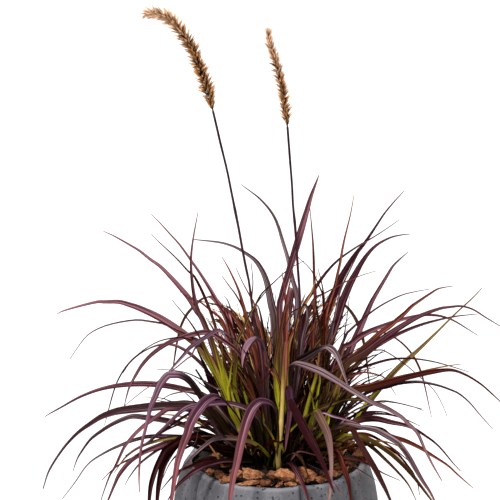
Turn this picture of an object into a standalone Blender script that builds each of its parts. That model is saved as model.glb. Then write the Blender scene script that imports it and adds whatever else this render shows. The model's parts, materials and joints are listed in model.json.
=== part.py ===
"""Potted fountain grass clump: a purple-leaved ornamental grass with two flower spikes, growing in a
folded cast-concrete planter that is topped with bark chips.

Metres, +Z up. The origin is the middle of the planter's flat base, and the viewer of the picture
stands toward -Y.
"""
import math
import random

import bmesh
import bpy
from mathutils import Vector

# Planter, in metres
PLANTER_HEIGHT = 0.270
BASE_RADIUS = 0.105
BELLY_RADIUS = 0.177
BELLY_HEIGHT = 0.165
RIM_RADIUS = 0.155
WALL = 0.011
FLOOR_THICKNESS = 0.024
RIM_ROUND = 0.004

# Soft vertical folds pressed into the planter's wall: degrees from the front, and depth
FOLDS = ((-58, 0.0065), (15, 0.0085), (52, 0.0065), (108, 0.006), (160, 0.007), (205, 0.006), (258, 0.0065))
FOLD_SPREAD = 7.5
FOLD_TOP_SHARE = 0.55
COLUMNS_BETWEEN_FOLDS = 2

# Planting
SOIL_TOP = 0.246
CROWN_RADIUS = 0.082
CROWN_TOP = 0.272
CROWN_SIDES = 28
MULCH_TOP = 0.268
MULCH_LUMP = 0.009
MULCH_ROWS = 4
MULCH_CLEARANCE = 0.0025
GAP = 0.0004
SOIL_CLEARANCE = 0.0016

# Grass
LEAF_SEGMENTS = 13
LEAF_THICKNESS = 0.0012
LEAF_FOLD = 0.25
LEAF_BASE_SHARE = 0.55
LEAF_TIP_WIDTH = 0.0011
LEAF_TAPER = 3.2
LEAF_ROLL = 1.5
FOOT_RISE = 0.012
BEND_WEIGHT = 0.035
CULM_RADIUS = 0.0045
CULM_TIP_RADIUS = 0.0026
CULM_POINTS = 8
STALK_RADIUS = 0.0019
STALK_TIP_RADIUS = 0.0011
STALK_POINTS = 10
SPIKE_SIDES = 10
SPIKE_RINGS = 17
SPIKE_LUMP = 0.22

# The picture in which the grass was traced, 500 pixels a side, and how it looks at the planter
PICTURE = 500
PIXEL = 0.001722
SIGHT_DEPTH = 3.0
SIGHT_PITCH = math.radians(12.7)
RIM_CENTRE_PIXEL = (276.0, 457.5)

ACROSS = Vector((1, 0, 0))
SIGHT = Vector((0, math.cos(SIGHT_PITCH), -math.sin(SIGHT_PITCH)))
UPWARD = Vector((0, math.sin(SIGHT_PITCH), math.cos(SIGHT_PITCH)))
FOCAL = SIGHT_DEPTH / PIXEL
EYE = (Vector((0, 0, PLANTER_HEIGHT)) - SIGHT * SIGHT_DEPTH
       - ACROSS * (RIM_CENTRE_PIXEL[0] - PICTURE / 2) * PIXEL
       + UPWARD * (RIM_CENTRE_PIXEL[1] - PICTURE / 2) * PIXEL)

# Colours, as linear red, green and blue
CONCRETE = (0.165, 0.165, 0.185)
SOIL = (0.018, 0.012, 0.009)
BARK = (0.42, 0.16, 0.06)
STRAW = (0.10, 0.06, 0.03)
GREEN = (0.30, 0.31, 0.04)
STALK = (0.055, 0.022, 0.018)
SPIKE = (0.50, 0.30, 0.15)
PURPLE = (0.070, 0.020, 0.026)
RED = (0.130, 0.026, 0.024)
OLIVE = (0.120, 0.085, 0.022)
GREY = (0.110, 0.075, 0.080)
VIOLET = (0.210, 0.110, 0.150)

# Leaves traced in the picture. Each has its name, width in mm, colour, foot on the crown as
# millimetres right of the axis and toward the viewer, its distance toward the viewer at the first
# traced point and at the tip in mm, and the traced pixels
LEAVES = (
    ("leaf_left_kinked", 13, PURPLE, (-36, 8), (12, -120),
     ((238, 425), (228, 400), (215, 372), (200, 348), (190, 339), (180, 331), (160, 318), (140, 308.5),
      (130, 305), (119, 302), (105, 302), (97, 302), (80, 306), (63, 311))),
    ("leaf_left_dark_arch", 10, PURPLE, (-22, 18), (16, 40),
     ((262, 400), (252, 375), (243, 359), (235, 349), (224, 341), (213, 334), (205, 332), (190, 335),
      (180, 338), (170, 342), (160, 348), (150, 356), (142, 365), (137, 373), (132, 382), (128, 391),
      (124, 407))),
    ("leaf_left_violet_fold", 11, VIOLET, (-10, 30), (45, 110),
     ((264, 410), (257, 380), (248, 358), (240, 345), (230, 336), (218, 330), (205, 337), (190, 347),
      (185, 353), (178, 361), (172, 368), (166, 376))),
    ("leaf_left_long_red", 13, RED, (-50, 16), (30, -40),
     ((232, 435), (222, 415), (212, 402), (200, 394), (180, 388.5), (160, 385), (140, 384),
      (120, 385.5), (100, 389.5), (80, 397), (60, 408), (49, 414))),
    ("leaf_left_hook", 13, VIOLET, (-46, 42), (60, 190),
     ((232, 440), (218, 420), (204, 402), (196, 390), (188, 380), (180, 375.5), (173, 375), (167, 376),
      (160, 385), (155, 397), (151, 406), (148, 418), (146, 427), (142, 443), (140, 458), (139, 478),
      (139.5, 492))),
    ("leaf_left_grey", 18, GREY, (-60, 30), (45, 140),
     ((228, 440), (215, 422), (203, 412), (190, 407), (180, 406), (160, 406.5), (140, 408.5),
      (120, 411), (110, 413.5), (100, 417.5), (90, 424), (80, 431), (70, 440.5), (60, 453), (49, 471))),
    ("leaf_left_olive", 12, OLIVE, (-68, 8), (25, 50),
     ((228, 448), (212, 437), (195, 430), (180, 424), (160, 419.5), (145, 417.5), (132, 416.5),
      (120, 420.5), (110, 425.5), (100, 432), (90, 440), (80, 454), (76, 462), (73, 471))),
    ("leaf_left_brown", 10, GREY, (-72, 24), (40, 90),
     ((228, 452), (212, 441), (195, 438), (170, 436.5), (150, 436.5), (140, 438.5), (130, 441.5),
      (120, 445.5), (110, 450), (100, 455), (90, 462), (80, 476), (70, 489), (62, 499))),
    ("leaf_left_low_olive", 11, OLIVE, (-66, 42), (60, 130),
     ((225, 455), (210, 445), (195, 439), (180, 439), (160, 446), (143, 453), (130, 462), (120, 474),
      (115, 484), (107, 503))),
    ("leaf_left_hanging", 12, PURPLE, (-56, 54), (75, 220),
     ((225, 455), (210, 441), (195, 436), (180, 440), (172, 445), (165, 450), (160, 459), (156, 468),
      (152, 480), (150, 490), (149, 503), (148.5, 516))),
    ("leaf_left_ribbon", 20, VIOLET, (-30, 54), (75, 270),
     ((250, 440), (238, 418), (228, 405), (220, 398), (213, 397), (205, 402), (200, 408), (195, 415),
      (190, 425), (187, 435), (183, 445), (178, 460), (176, 470), (174, 482), (171, 503), (169, 517))),
    ("leaf_left_pink_arch", 9, VIOLET, (-12, 48), (66, 150),
     ((266, 436), (258, 418), (250, 411), (240, 406), (225, 403), (210, 404), (195, 405.5), (185, 409),
      (175, 417), (165, 427), (155, 436), (147, 443), (135, 449), (125, 456))),
    ("leaf_front_ribbon", 21, VIOLET, (-5, 72), (76, 260),
     ((276, 455), (277.5, 440), (277.5, 425), (276, 413), (272.5, 405), (268, 402), (262, 401),
      (257, 403), (252, 408), (248, 416), (245, 425), (240, 445), (236, 465), (233, 478), (231, 490),
      (229.5, 502), (228, 514))),
    ("leaf_front_left_olive", 11, OLIVE, (-15, 70), (78, 150),
     ((268, 456), (255, 444), (235, 438.5), (215, 439), (203, 447), (192, 457), (183, 467), (177, 477),
      (172, 486))),
    ("leaf_front_left_purple", 10, PURPLE, (-36, 70), (85, 190),
     ((240, 461), (225, 461), (215, 463), (205, 466), (195, 471), (187, 477), (180, 483), (175, 489),
      (166, 503))),
    ("leaf_upper_left_red", 11, RED, (-42, -8), (0, -120),
     ((240, 430), (228, 395), (215, 352), (203, 320), (197, 311), (190, 299), (180, 287), (170, 276),
      (160, 266), (150, 259), (140, 251), (130, 245), (115, 236.5))),
    ("leaf_upper_left_slim", 8, PURPLE, (-30, -16), (-15, -160),
     ((250, 430), (240, 370), (228, 322), (218, 303), (213, 294), (207, 284), (200, 273), (193, 263),
      (180, 245), (170, 234), (161, 224))),
    ("leaf_upper_left_maroon", 11, RED, (-20, -14), (-14, 30),
     ((262, 400), (257, 360), (250, 340), (240, 325), (232, 314), (225, 308), (216, 304.5),
      (207, 302.5), (199, 301))),
    ("leaf_top_grey", 17, GREY, (-4, -8), (-10, -130),
     ((278, 420), (277, 360), (275, 318), (272, 305), (270, 295), (268, 285), (265, 276), (261, 268),
      (256, 261), (250, 256), (238, 248.5), (228, 244.5), (217, 242), (198, 239.5))),
    ("leaf_top_tall", 12, OLIVE, (6, 10), (10, -20),
     ((281, 400), (280, 350), (279, 308), (281, 297), (284, 285), (287, 275), (290, 265), (293, 255),
      (298, 238), (301, 228), (304, 218), (307, 208), (310, 198), (313, 190), (319, 175))),
    ("leaf_top_slim", 8, PURPLE, (14, -28), (-30, -90),
     ((288, 400), (294, 350), (298, 302), (293, 280), (290, 267), (288, 258), (285, 248), (282, 238),
      (279, 228), (275, 218), (270, 210), (265, 204), (258, 197))),
    ("leaf_top_right_dark", 14, PURPLE, (35, -25), (-44, -170),
     ((307, 420), (315, 365), (322, 325), (325, 315), (330, 301), (335, 291), (339, 281), (344, 272),
      (350, 262), (357, 252), (363, 245), (368, 238), (376, 226), (384, 214))),
    ("leaf_top_right_violet", 16, VIOLET, (44, -6), (0, -110),
     ((318, 400), (325, 360), (328, 345), (333, 330), (338, 315), (342, 302), (346, 292), (350, 283),
      (355, 274), (360, 265), (366, 256), (372, 249), (378, 244), (385, 240), (392, 237))),
    ("leaf_right_stiff", 10, RED, (52, -20), (-20, -130),
     ((330, 420), (340, 385), (344, 364), (348, 355), (353, 343), (358, 332), (363, 321), (367, 312),
      (371, 303), (376, 294), (382, 284), (388, 274), (393, 266))),
    ("leaf_right_orange_stripe", 10, RED, (57, -4), (5, -50),
     ((330, 425), (338, 395), (343, 367), (350, 360), (360, 351), (370, 342), (380, 333), (390, 326),
      (398, 319), (405, 313), (412, 306), (422, 299), (431, 293), (439, 288.5))),
    ("leaf_right_arch_slim", 9, PURPLE, (47, 9), (15, -150),
     ((325, 420), (335, 380), (342, 350), (350, 344), (360, 336), (370, 331), (380, 327), (400, 320),
      (420, 315.5), (430, 315), (440, 316), (450, 319), (458, 323), (466, 328), (478, 335.5))),
    ("leaf_right_arch_broad", 14, PURPLE, (60, 10), (24, 90),
     ((328, 425), (336, 395), (345, 366), (365, 352), (385, 337), (405, 324), (422, 315), (440, 308.5),
      (450, 307), (460, 306), (468, 307.5), (476, 311), (485, 317), (500, 326))),
    ("leaf_right_straight", 14, OLIVE, (72, -10), (0, -140),
     ((332, 440), (346, 431), (358, 417), (372, 398), (385, 382), (400, 366), (418, 350), (438, 331),
      (455, 314), (473, 297.5))),
    ("leaf_right_maroon", 17, PURPLE, (66, 24), (40, 120),
     ((330, 430), (338, 408), (350, 392), (370, 387), (390, 381.5), (410, 376.5), (430, 372.5),
      (450, 370), (465, 374.5), (480, 383.5), (490, 392), (503, 404))),
    ("leaf_right_grey_long", 14, VIOLET, (18, 24), (10, 190),
     ((288, 430), (289, 395), (292, 372), (300, 365), (310, 366), (320, 371), (330, 377), (340, 383),
      (350, 389.5), (361, 396), (373, 403), (385, 407.5), (395, 413), (402.5, 418), (408, 423.6),
      (414, 429), (418.6, 435), (424, 447.7), (428, 455.7), (433, 465.5), (442, 481))),
    ("leaf_right_violet_fold", 14, VIOLET, (21, 9), (6, 60),
     ((294, 430), (291, 390), (291, 370), (296, 362), (305.8, 356.8), (317, 349.7), (326, 346.5),
      (333, 349.5), (338, 357), (341, 365), (344, 374), (349, 388))),
    ("leaf_right_slim_low", 11, PURPLE, (62, 38), (60, 120),
     ((322, 445), (340, 428), (358, 421), (367, 419), (377.5, 419), (390, 422), (402.5, 424.5),
      (410.5, 427), (417.7, 430.7), (425.7, 436), (434, 442), (441, 448.6), (447, 455.7), (453, 463),
      (460.5, 471))),
    ("leaf_right_violet_low", 13, VIOLET, (52, 48), (78, 190),
     ((318, 445), (332, 430), (345, 424), (360, 427), (375, 430), (385, 435), (395, 441), (400, 445),
      (408, 456), (415, 468), (422, 480), (430, 492), (435, 502), (440, 514))),
    ("leaf_right_orange_tip", 10, RED, (74, 32), (44, 140),
     ((326, 448), (342, 433), (360, 428), (380, 430), (390, 436.5), (405, 441), (420, 448),
      (432, 455.5), (447, 465), (458, 475), (473, 488))),
    ("leaf_right_olive_low", 15, OLIVE, (42, 60), (88, 200),
     ((312, 450), (330, 440), (345, 435), (360, 436), (370, 440), (380, 446), (390, 453), (397, 459),
      (405, 467), (413, 476), (420, 485), (432, 501), (438, 511))),
    ("leaf_right_hanging", 13, OLIVE, (33, 66), (100, 270),
     ((308, 450), (322, 437), (338, 430), (352, 430), (358, 440), (364, 450), (370, 460), (376, 470),
      (381, 480), (386, 490), (391, 502), (396, 516))),
    ("leaf_right_olive_arch", 10, OLIVE, (36, 38), (50, 80),
     ((306, 440), (311, 422), (318, 410), (330, 405), (345, 400), (358, 399.5), (372, 402), (385, 401),
      (400, 403.5), (412, 406.5), (422, 409))),
    ("leaf_front_right_ribbon", 18, VIOLET, (26, 50), (75, 255),
     ((298, 440), (305, 422), (311, 413), (316, 411), (320, 418), (325, 428), (328, 436), (330, 446),
      (331, 456), (331.5, 466), (331, 476), (330.5, 490), (329, 502), (328, 515))),
    ("leaf_front_violet", 13, VIOLET, (-2, 50), (54, 250),
     ((278, 440), (277.5, 410), (279, 394), (284.5, 386), (290, 394), (293.5, 406), (298, 415),
      (305, 427), (311, 438), (317, 449), (322, 460), (329, 478), (334, 492))),
    ("leaf_front_right_maroon", 12, RED, (48, 66), (98, 240),
     ((320, 459), (329, 452), (337, 452), (342, 463), (346, 474), (349, 484), (351, 502), (352, 512))),
    ("leaf_front_small", 9, PURPLE, (17, 75), (86, 245),
     ((285, 465), (289, 463), (293, 466), (297, 472), (301, 480), (305, 490), (309, 502), (311, 510))),
)

# Leaves that arch away from the viewer: name, width in mm, colour, foot as above, direction in
# degrees from +X, then reach, greatest height and tip height above the crown in metres
BACK_LEAVES = (
    ("leaf_back_left_low", 12, PURPLE, (-62, -34), 152, 0.280, 0.170, 0.000),
    ("leaf_back_left", 13, RED, (-40, -52), 124, 0.270, 0.240, 0.060),
    ("leaf_back_centre_left", 12, PURPLE, (-14, -62), 103, 0.260, 0.205, -0.020),
    ("leaf_back_centre_right", 14, PURPLE, (10, -66), 80, 0.250, 0.250, 0.080),
    ("leaf_back_right", 12, OLIVE, (34, -58), 58, 0.280, 0.225, 0.020),
    ("leaf_back_right_low", 13, RED, (60, -38), 33, 0.270, 0.190, 0.010),
)

# Stems: name, foot, distances toward the viewer, traced pixels
CULMS = (
    ("culm_centre", (9, 64), (64, 58),
     ((281.5, 455), (284, 440), (285, 425), (285.5, 410), (285.5, 400), (286.5, 370), (286.5, 350),
      (285, 340))),
    ("culm_left", (-44, 28), (34, 30),
     ((238, 425), (229, 398), (221, 380), (213, 362), (206, 348), (202, 338))),
    ("culm_left_inner", (-30, 36), (40, 44),
     ((242, 420), (234, 400), (227, 380), (221, 362), (215, 345), (211, 335))),
    ("culm_right", (32, 10), (12, 12),
     ((302, 430), (308, 405), (313, 388), (317, 372), (319, 356), (320, 344))),
    ("culm_right_outer", (50, 26), (40, 50),
     ((322, 430), (328, 412), (334, 396), (339, 382), (343, 372))),
)
STALKS = (
    ("flower_stalk_left", (-14, 6), (5, 10),
     ((268, 420), (260, 360), (252, 305), (249, 282), (246, 268), (242, 247), (239, 230), (236, 215),
      (233, 200), (230, 185), (227, 170), (221, 143), (217, 130), (213, 111))),
    ("flower_stalk_right", (20, -8), (-8, 0),
     ((290, 420), (298, 350), (300, 305), (298, 270), (296, 240), (295, 225), (293, 205), (292, 185),
      (290, 160), (287.5, 127))),
)

# Spikes: name, distance toward the viewer, then the traced pixels from the stalk to the tip, and
# radii in metres at even steps from end to end, which reach the ends of the bristles
SPIKES = (
    ("flower_spike_left", 10,
     ((212.8, 110), (209.6, 98), (204.6, 81), (199, 65), (193, 51), (188, 41.5), (181, 32), (175, 24),
      (168, 18), (161, 15), (152, 13.3), (140, 14)),
     (0.0045, 0.0120, 0.0155, 0.0170, 0.0175, 0.0170, 0.0155, 0.0130, 0.0100, 0.0055)),
    ("flower_spike_right", 0,
     ((287.3, 126), (286, 115), (283.7, 96.5), (280.6, 80), (277.5, 67), (274.5, 57), (270.7, 46),
      (268.7, 36), (268, 27)),
     (0.0045, 0.0115, 0.0145, 0.0155, 0.0150, 0.0140, 0.0120, 0.0100, 0.0080, 0.0045)),
)


def empty_scene():
    """Remove what the scene holds and make the collection for the object."""
    for thing in list(bpy.data.objects):
        bpy.data.objects.remove(thing, do_unlink=True)
    parts = bpy.data.collections.new("potted_fountain_grass")
    bpy.context.scene.collection.children.link(parts)
    return parts


def finish(name, colour, roughness):
    """A plain material in one colour."""
    material = bpy.data.materials.new(name)
    material.use_nodes = True
    shader = material.node_tree.nodes["Principled BSDF"]
    shader.inputs["Base Color"].default_value = (*colour, 1.0)
    shader.inputs["Roughness"].default_value = roughness
    shader.inputs["Metallic"].default_value = 0.0
    return material


def add_part(name, data, colour, roughness, place=(0, 0, 0)):
    """Put a finished mesh or curve in the collection, under the group that carries it."""
    part = bpy.data.objects.new(name, data)
    part.location = place
    part.parent = GROUP
    data.materials.append(finish(name, colour, roughness))
    PARTS.objects.link(part)
    return part


def smooth_step(low, high, value):
    share = min(max((value - low) / (high - low), 0.0), 1.0)
    return share * share * (3 - 2 * share)


def traced(pixel, toward):
    """The point that the picture shows at a pixel, at a distance toward the viewer."""
    ray = (SIGHT + ACROSS * ((pixel[0] - PICTURE / 2) / FOCAL)
           + UPWARD * ((PICTURE / 2 - pixel[1]) / FOCAL))
    return EYE + ray * ((-toward - EYE.y) / ray.y)


def traced_route(pixels, toward):
    """Traced pixels as points, the distance toward the viewer changing evenly along them."""
    lengths = [0.0]
    for before, after in zip(pixels, pixels[1:]):
        lengths.append(lengths[-1] + math.dist(before, after))
    near, far = toward[0] / 1000, toward[1] / 1000
    return [traced(pixel, near + (far - near) * length / lengths[-1])
            for pixel, length in zip(pixels, lengths)]


def foot_points(foot):
    """Where a shoot leaves the crown, and the point just above that keeps it upright there."""
    start = Vector((foot[0] / 1000, -foot[1] / 1000, CROWN_TOP + GAP))
    return [start, start + Vector((0, 0, FOOT_RISE))]


def smooth_route(points, count, lead=None):
    """A smooth line through the points, with more of its own points where it bends.

    A point given as the lead comes before the line and steers its start."""
    lead = lead or points[0] * 2 - points[1]
    ends = [lead] + points + [points[-1] * 2 - points[-2]]
    fine = []
    steps = 12
    for a, b, c, d in zip(ends, ends[1:], ends[2:], ends[3:]):
        for step in range(steps):
            t = step / steps
            fine.append(0.5 * (2 * b + (c - a) * t + (2 * a - 5 * b + 4 * c - d) * t ** 2
                               + (3 * b - a - 3 * c + d) * t ** 3))
    fine.append(points[-1])
    weights = [0.0]
    for index in range(1, len(fine)):
        piece = fine[index] - fine[index - 1]
        turn = piece.angle(fine[index + 1] - fine[index], 0.0) if index + 1 < len(fine) else 0.0
        weights.append(weights[-1] + piece.length + BEND_WEIGHT * turn)
    route = []
    index = 0
    for number in range(count):
        goal = weights[-1] * number / (count - 1)
        while index < len(fine) - 2 and weights[index + 1] < goal:
            index += 1
        span = weights[index + 1] - weights[index]
        share = (goal - weights[index]) / span if span > 0 else 0.0
        route.append(fine[index].lerp(fine[index + 1], min(share, 1.0)))
    return route


def shoot_route(points, count):
    """The route of a shoot: straight up from its foot, then smooth to its tip."""
    return [points[0]] + smooth_route(points[1:], count - 1, points[0])


def tangents(route):
    """The direction of a route at each of its points."""
    last = len(route) - 1
    return [(route[min(number + 1, last)] - route[max(number - 1, 0)]).normalized()
            for number in range(last + 1)]


def square_to(along, facing):
    """The part of a facing that is square to a direction."""
    return (facing - along * facing.dot(along)).normalized()


def facings(directions, facing):
    """Which way a blade's upper face looks at each point: as asked half way along, and from there
    turned as little as the route allows."""
    middle = len(directions) // 2
    looks = {middle: square_to(directions[middle], facing)}
    for number in range(middle + 1, len(directions)):
        looks[number] = square_to(directions[number], looks[number - 1])
    for number in reversed(range(middle)):
        looks[number] = square_to(directions[number], looks[number + 1])
    return [looks[number] for number in range(len(directions))]


def leaf_width(share, width):
    """Width along a blade: narrow where it clasps the stem, then broad, then a long fine tip."""
    swell = LEAF_BASE_SHARE + (1 - LEAF_BASE_SHARE) * smooth_step(0.0, 0.35, share)
    return LEAF_TIP_WIDTH + (width - LEAF_TIP_WIDTH) * swell * (1 - share ** LEAF_TAPER)


def blade(name, width, colour, points, roll):
    """A leaf blade: shallow V sections set along its route, closed at both ends."""
    route = shoot_route(points, LEAF_SEGMENTS + 1)
    outward = route[-1] - route[0]
    outward.z = 0.0
    facing = (outward.normalized() + Vector((0, 0, 1))).normalized() - SIGHT * roll
    directions = tangents(route)
    mesh = bmesh.new()
    sections = []
    for number, (point, along, up) in enumerate(zip(route, directions, facings(directions, facing))):
        side = along.cross(up)
        half = leaf_width(number / LEAF_SEGMENTS, width / 1000) / 2
        thick = min(LEAF_THICKNESS, half * 1.2) / 2
        middle = point - route[0]
        lift = up * half * LEAF_FOLD
        corners = (middle + side * half + lift, middle + up * thick, middle - side * half + lift,
                   middle - up * thick)
        sections.append([mesh.verts.new(corner) for corner in corners])
    for below, above in zip(sections, sections[1:]):
        for margin in (0, 2):
            for ridge in (1, 3):
                mesh.faces.new((below[margin], below[ridge], above[ridge]))
                mesh.faces.new((below[margin], above[ridge], above[margin]))
    for end in (sections[0], sections[-1]):
        for margin in (0, 2):
            mesh.faces.new((end[margin], end[1], end[3]))
    bmesh.ops.recalc_face_normals(mesh, faces=mesh.faces)
    data = bpy.data.meshes.new(name)
    mesh.to_mesh(data)
    mesh.free()
    data.shade_smooth()
    return add_part(name, data, colour, 0.45, route[0])


def arching_points(foot, direction, reach, height, tip_height):
    """Points of a leaf that springs up from the crown, arches over and hangs down."""
    points = foot_points(foot)
    start = points[0]
    out = Vector((math.cos(math.radians(direction)), math.sin(math.radians(direction)), 0))
    for distance, rise in ((0.10, 0.45), (0.26, 0.82), (0.48, 1.0), (0.70, 0.88)):
        points.append(start + out * reach * distance + Vector((0, 0, height * rise)))
    points.append(start + out * reach * 0.88 + Vector((0, 0, 0.55 * height + 0.45 * tip_height)))
    points.append(start + out * reach + Vector((0, 0, tip_height)))
    return points


def stem(name, points, count, radius, tip_radius, sides_setting, colour):
    """A round stem as a bevelled curve that thins toward its tip."""
    route = shoot_route(points, count)
    data = bpy.data.curves.new(name, "CURVE")
    data.dimensions = "3D"
    data.bevel_depth = radius
    data.bevel_resolution = sides_setting
    data.use_fill_caps = True
    spline = data.splines.new("POLY")
    spline.points.add(count - 1)
    for number, point in enumerate(route):
        spline.points[number].co = (*(point - route[0]), 1.0)
        share = number / (count - 1)
        spline.points[number].radius = 1 + (tip_radius / radius - 1) * share
    spline.use_smooth = True
    return add_part(name, data, colour, 0.5, route[0])


def radius_at(radii, share):
    place = share * (len(radii) - 1)
    index = min(int(place), len(radii) - 2)
    return radii[index] + (radii[index + 1] - radii[index]) * (place - index)


def spike(name, toward, pixels, radii):
    """A flower spike: a round form drawn out along its axis, lumpy with rows of spikelets."""
    route = smooth_route([traced(pixel, toward / 1000) for pixel in pixels], SPIKE_RINGS + 1)
    directions = tangents(route)
    mesh = bmesh.new()
    bmesh.ops.create_uvsphere(mesh, u_segments=SPIKE_SIDES, v_segments=SPIKE_RINGS, radius=1.0)
    for vertex in mesh.verts:
        latitude = math.acos(min(max(-vertex.co.z, -1.0), 1.0)) / math.pi
        ring = round(latitude * SPIKE_RINGS)
        turn = math.atan2(vertex.co.y, vertex.co.x)
        along = directions[ring]
        side = along.cross(SIGHT).normalized()
        away = along.cross(side)
        pole = ring in (0, SPIKE_RINGS)
        lump = 1 + SPIKE_LUMP * math.cos(SPIKE_SIDES / 2 * turn + math.pi * ring)
        radius = 0.0 if pole else radius_at(radii, ring / SPIKE_RINGS) * lump
        place = route[ring] - route[0]
        vertex.co = place + (side * math.cos(turn) + away * math.sin(turn)) * radius
    data = bpy.data.meshes.new(name)
    mesh.to_mesh(data)
    mesh.free()
    return add_part(name, data, SPIKE, 0.8, route[0])


def fold_columns():
    """Angles around the planter, close together in each fold and spaced out between folds."""
    angles = sorted(angle % 360 for angle, depth in FOLDS)
    columns = []
    for angle, following in zip(angles, angles[1:] + [angles[0] + 360]):
        columns += [angle, angle + 0.55 * FOLD_SPREAD, angle + 1.4 * FOLD_SPREAD]
        start, stop = angle + 1.4 * FOLD_SPREAD, following - 1.4 * FOLD_SPREAD
        for number in range(1, COLUMNS_BETWEEN_FOLDS + 1):
            columns.append(start + (stop - start) * number / (COLUMNS_BETWEEN_FOLDS + 1))
        columns += [stop, following - 0.55 * FOLD_SPREAD]
    return [column % 360 for column in columns]


def fold_push(degrees, height):
    """How far the wall is pressed in at an angle from the front and a height."""
    push = 0.0
    for angle, depth in FOLDS:
        apart = abs((degrees - angle + 180) % 360 - 180) / FOLD_SPREAD
        push += depth * math.exp(-apart ** 1.5)
        push -= 0.22 * depth * math.exp(-((apart - 2.1) / 1.1) ** 2)
    low = smooth_step(0.02, 0.60 * PLANTER_HEIGHT, height)
    top = smooth_step(0.75 * PLANTER_HEIGHT, PLANTER_HEIGHT, height)
    return push * low * (1 - (1 - FOLD_TOP_SHARE) * top)


def from_front(degrees, radius, height):
    """A point at an angle from the front, which is -Y, turning toward +X."""
    angle = math.radians(degrees)
    return Vector((radius * math.sin(angle), -radius * math.cos(angle), height))


def turned(name, profile, columns, colour, roughness, folded):
    """A profile turned by the Screw modifier, its columns then moved to the folds' angles."""
    mesh = bpy.data.meshes.new(name + "_profile")
    edges = [(number, number + 1) for number in range(len(profile) - 1)]
    mesh.from_pydata([(radius, 0, height) for radius, height in profile], edges, [])
    guide = bpy.data.objects.new(name + "_profile", mesh)
    PARTS.objects.link(guide)
    screw = guide.modifiers.new("Turn", "SCREW")
    screw.steps = len(columns)
    screw.render_steps = len(columns)
    screw.use_merge_vertices = True
    screw.merge_threshold = 0.00005
    bpy.context.view_layer.update()
    data = bpy.data.meshes.new_from_object(guide.evaluated_get(bpy.context.evaluated_depsgraph_get()))
    data.name = name
    bpy.data.objects.remove(guide, do_unlink=True)
    for vertex in data.vertices:
        radius = math.hypot(vertex.co.x, vertex.co.y)
        if radius < 1e-6:
            continue
        turn = math.atan2(vertex.co.y, vertex.co.x) / math.tau
        degrees = columns[round(turn * len(columns)) % len(columns)]
        push = fold_push(degrees, vertex.co.z) if folded else 0.0
        vertex.co = from_front(degrees, radius - push, vertex.co.z)
    data.shade_smooth()
    data.set_sharp_from_angle(angle=math.radians(40))
    return add_part(name, data, colour, roughness)


def wall_radius(height):
    """Outer radius of the unfolded planter at a height, from its base, belly and rim."""
    if height < BELLY_HEIGHT:
        share = (BELLY_HEIGHT - height) / BELLY_HEIGHT
        return BASE_RADIUS + (BELLY_RADIUS - BASE_RADIUS) * math.sqrt(1 - share ** 2.3)
    share = (height - BELLY_HEIGHT) / (PLANTER_HEIGHT - BELLY_HEIGHT)
    return BELLY_RADIUS - (BELLY_RADIUS - RIM_RADIUS) * share ** 2.1


OUTER_HEIGHTS = (0.262, 0.243, 0.215, 0.180, 0.140, 0.100, 0.064, 0.034, 0.012)
INNER_HEIGHTS = (0.036, 0.080, 0.140, 0.200, SOIL_TOP, 0.262)


def planter_profile():
    """From the middle of the hollow's floor, up the inside, over the rim and down the outside."""
    profile = [(0.0, FLOOR_THICKNESS), (wall_radius(0.030) - 2.2 * WALL, FLOOR_THICKNESS)]
    profile += [(wall_radius(height) - WALL, height) for height in INNER_HEIGHTS]
    middle = RIM_RADIUS - WALL / 2
    for degrees in (150, 90, 30):
        angle = math.radians(degrees)
        profile.append((middle + (WALL / 2) * math.cos(angle),
                        PLANTER_HEIGHT - RIM_ROUND + RIM_ROUND * math.sin(angle)))
    profile += [(wall_radius(height), height) for height in OUTER_HEIGHTS]
    profile += [(BASE_RADIUS + 0.004, 0.0015), (BASE_RADIUS, 0.0), (0.0, 0.0)]
    return profile


def soil_profile():
    """The soil fills the hollow, a hair's breadth inside the wall."""
    heights = [height for height in reversed(INNER_HEIGHTS) if height <= SOIL_TOP]
    profile = [(0.0, SOIL_TOP)]
    profile += [(wall_radius(height) - WALL - SOIL_CLEARANCE, height) for height in heights]
    bottom = FLOOR_THICKNESS + GAP
    profile += [(wall_radius(0.030) - 2.5 * WALL, bottom), (0.0, bottom)]
    return profile


def mulch(columns):
    """A ring of bark chips packed between the crown and the rim, as one lumpy layer."""
    chance = random.Random(7)
    inner = CROWN_RADIUS + MULCH_CLEARANCE
    count = len(columns)
    bottom = SOIL_TOP + GAP
    lumps = {}
    rings = []
    mesh = bmesh.new()
    for row in range(MULCH_ROWS + 1):
        ring = []
        share = row / MULCH_ROWS
        for column, degrees in enumerate(columns):
            outer = RIM_RADIUS - WALL - 2 * GAP - fold_push(degrees, PLANTER_HEIGHT)
            chip = (row, (column + row) // 2)
            lumps.setdefault(chip, chance.uniform(-MULCH_LUMP, MULCH_LUMP))
            height = MULCH_TOP + 0.004 * math.sin(math.pi * share) + lumps[chip]
            height = min(height, PLANTER_HEIGHT - 0.002) if row in (0, MULCH_ROWS) else height
            ring.append(mesh.verts.new(from_front(degrees, inner + (outer - inner) * share, height)))
        rings.append(ring)
    walls = [[mesh.verts.new((vertex.co.x, vertex.co.y, bottom)) for vertex in ring]
             for ring in (rings[0], rings[-1])]
    loop = [walls[0]] + rings + [walls[1], walls[0]]
    for inside, outside in zip(loop, loop[1:]):
        for column in range(count):
            after = (column + 1) % count
            mesh.faces.new((inside[column], inside[after], outside[after], outside[column]))
    bmesh.ops.recalc_face_normals(mesh, faces=mesh.faces)
    data = bpy.data.meshes.new("bark_mulch")
    mesh.to_mesh(data)
    mesh.free()
    return add_part("bark_mulch", data, BARK, 0.9)


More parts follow.
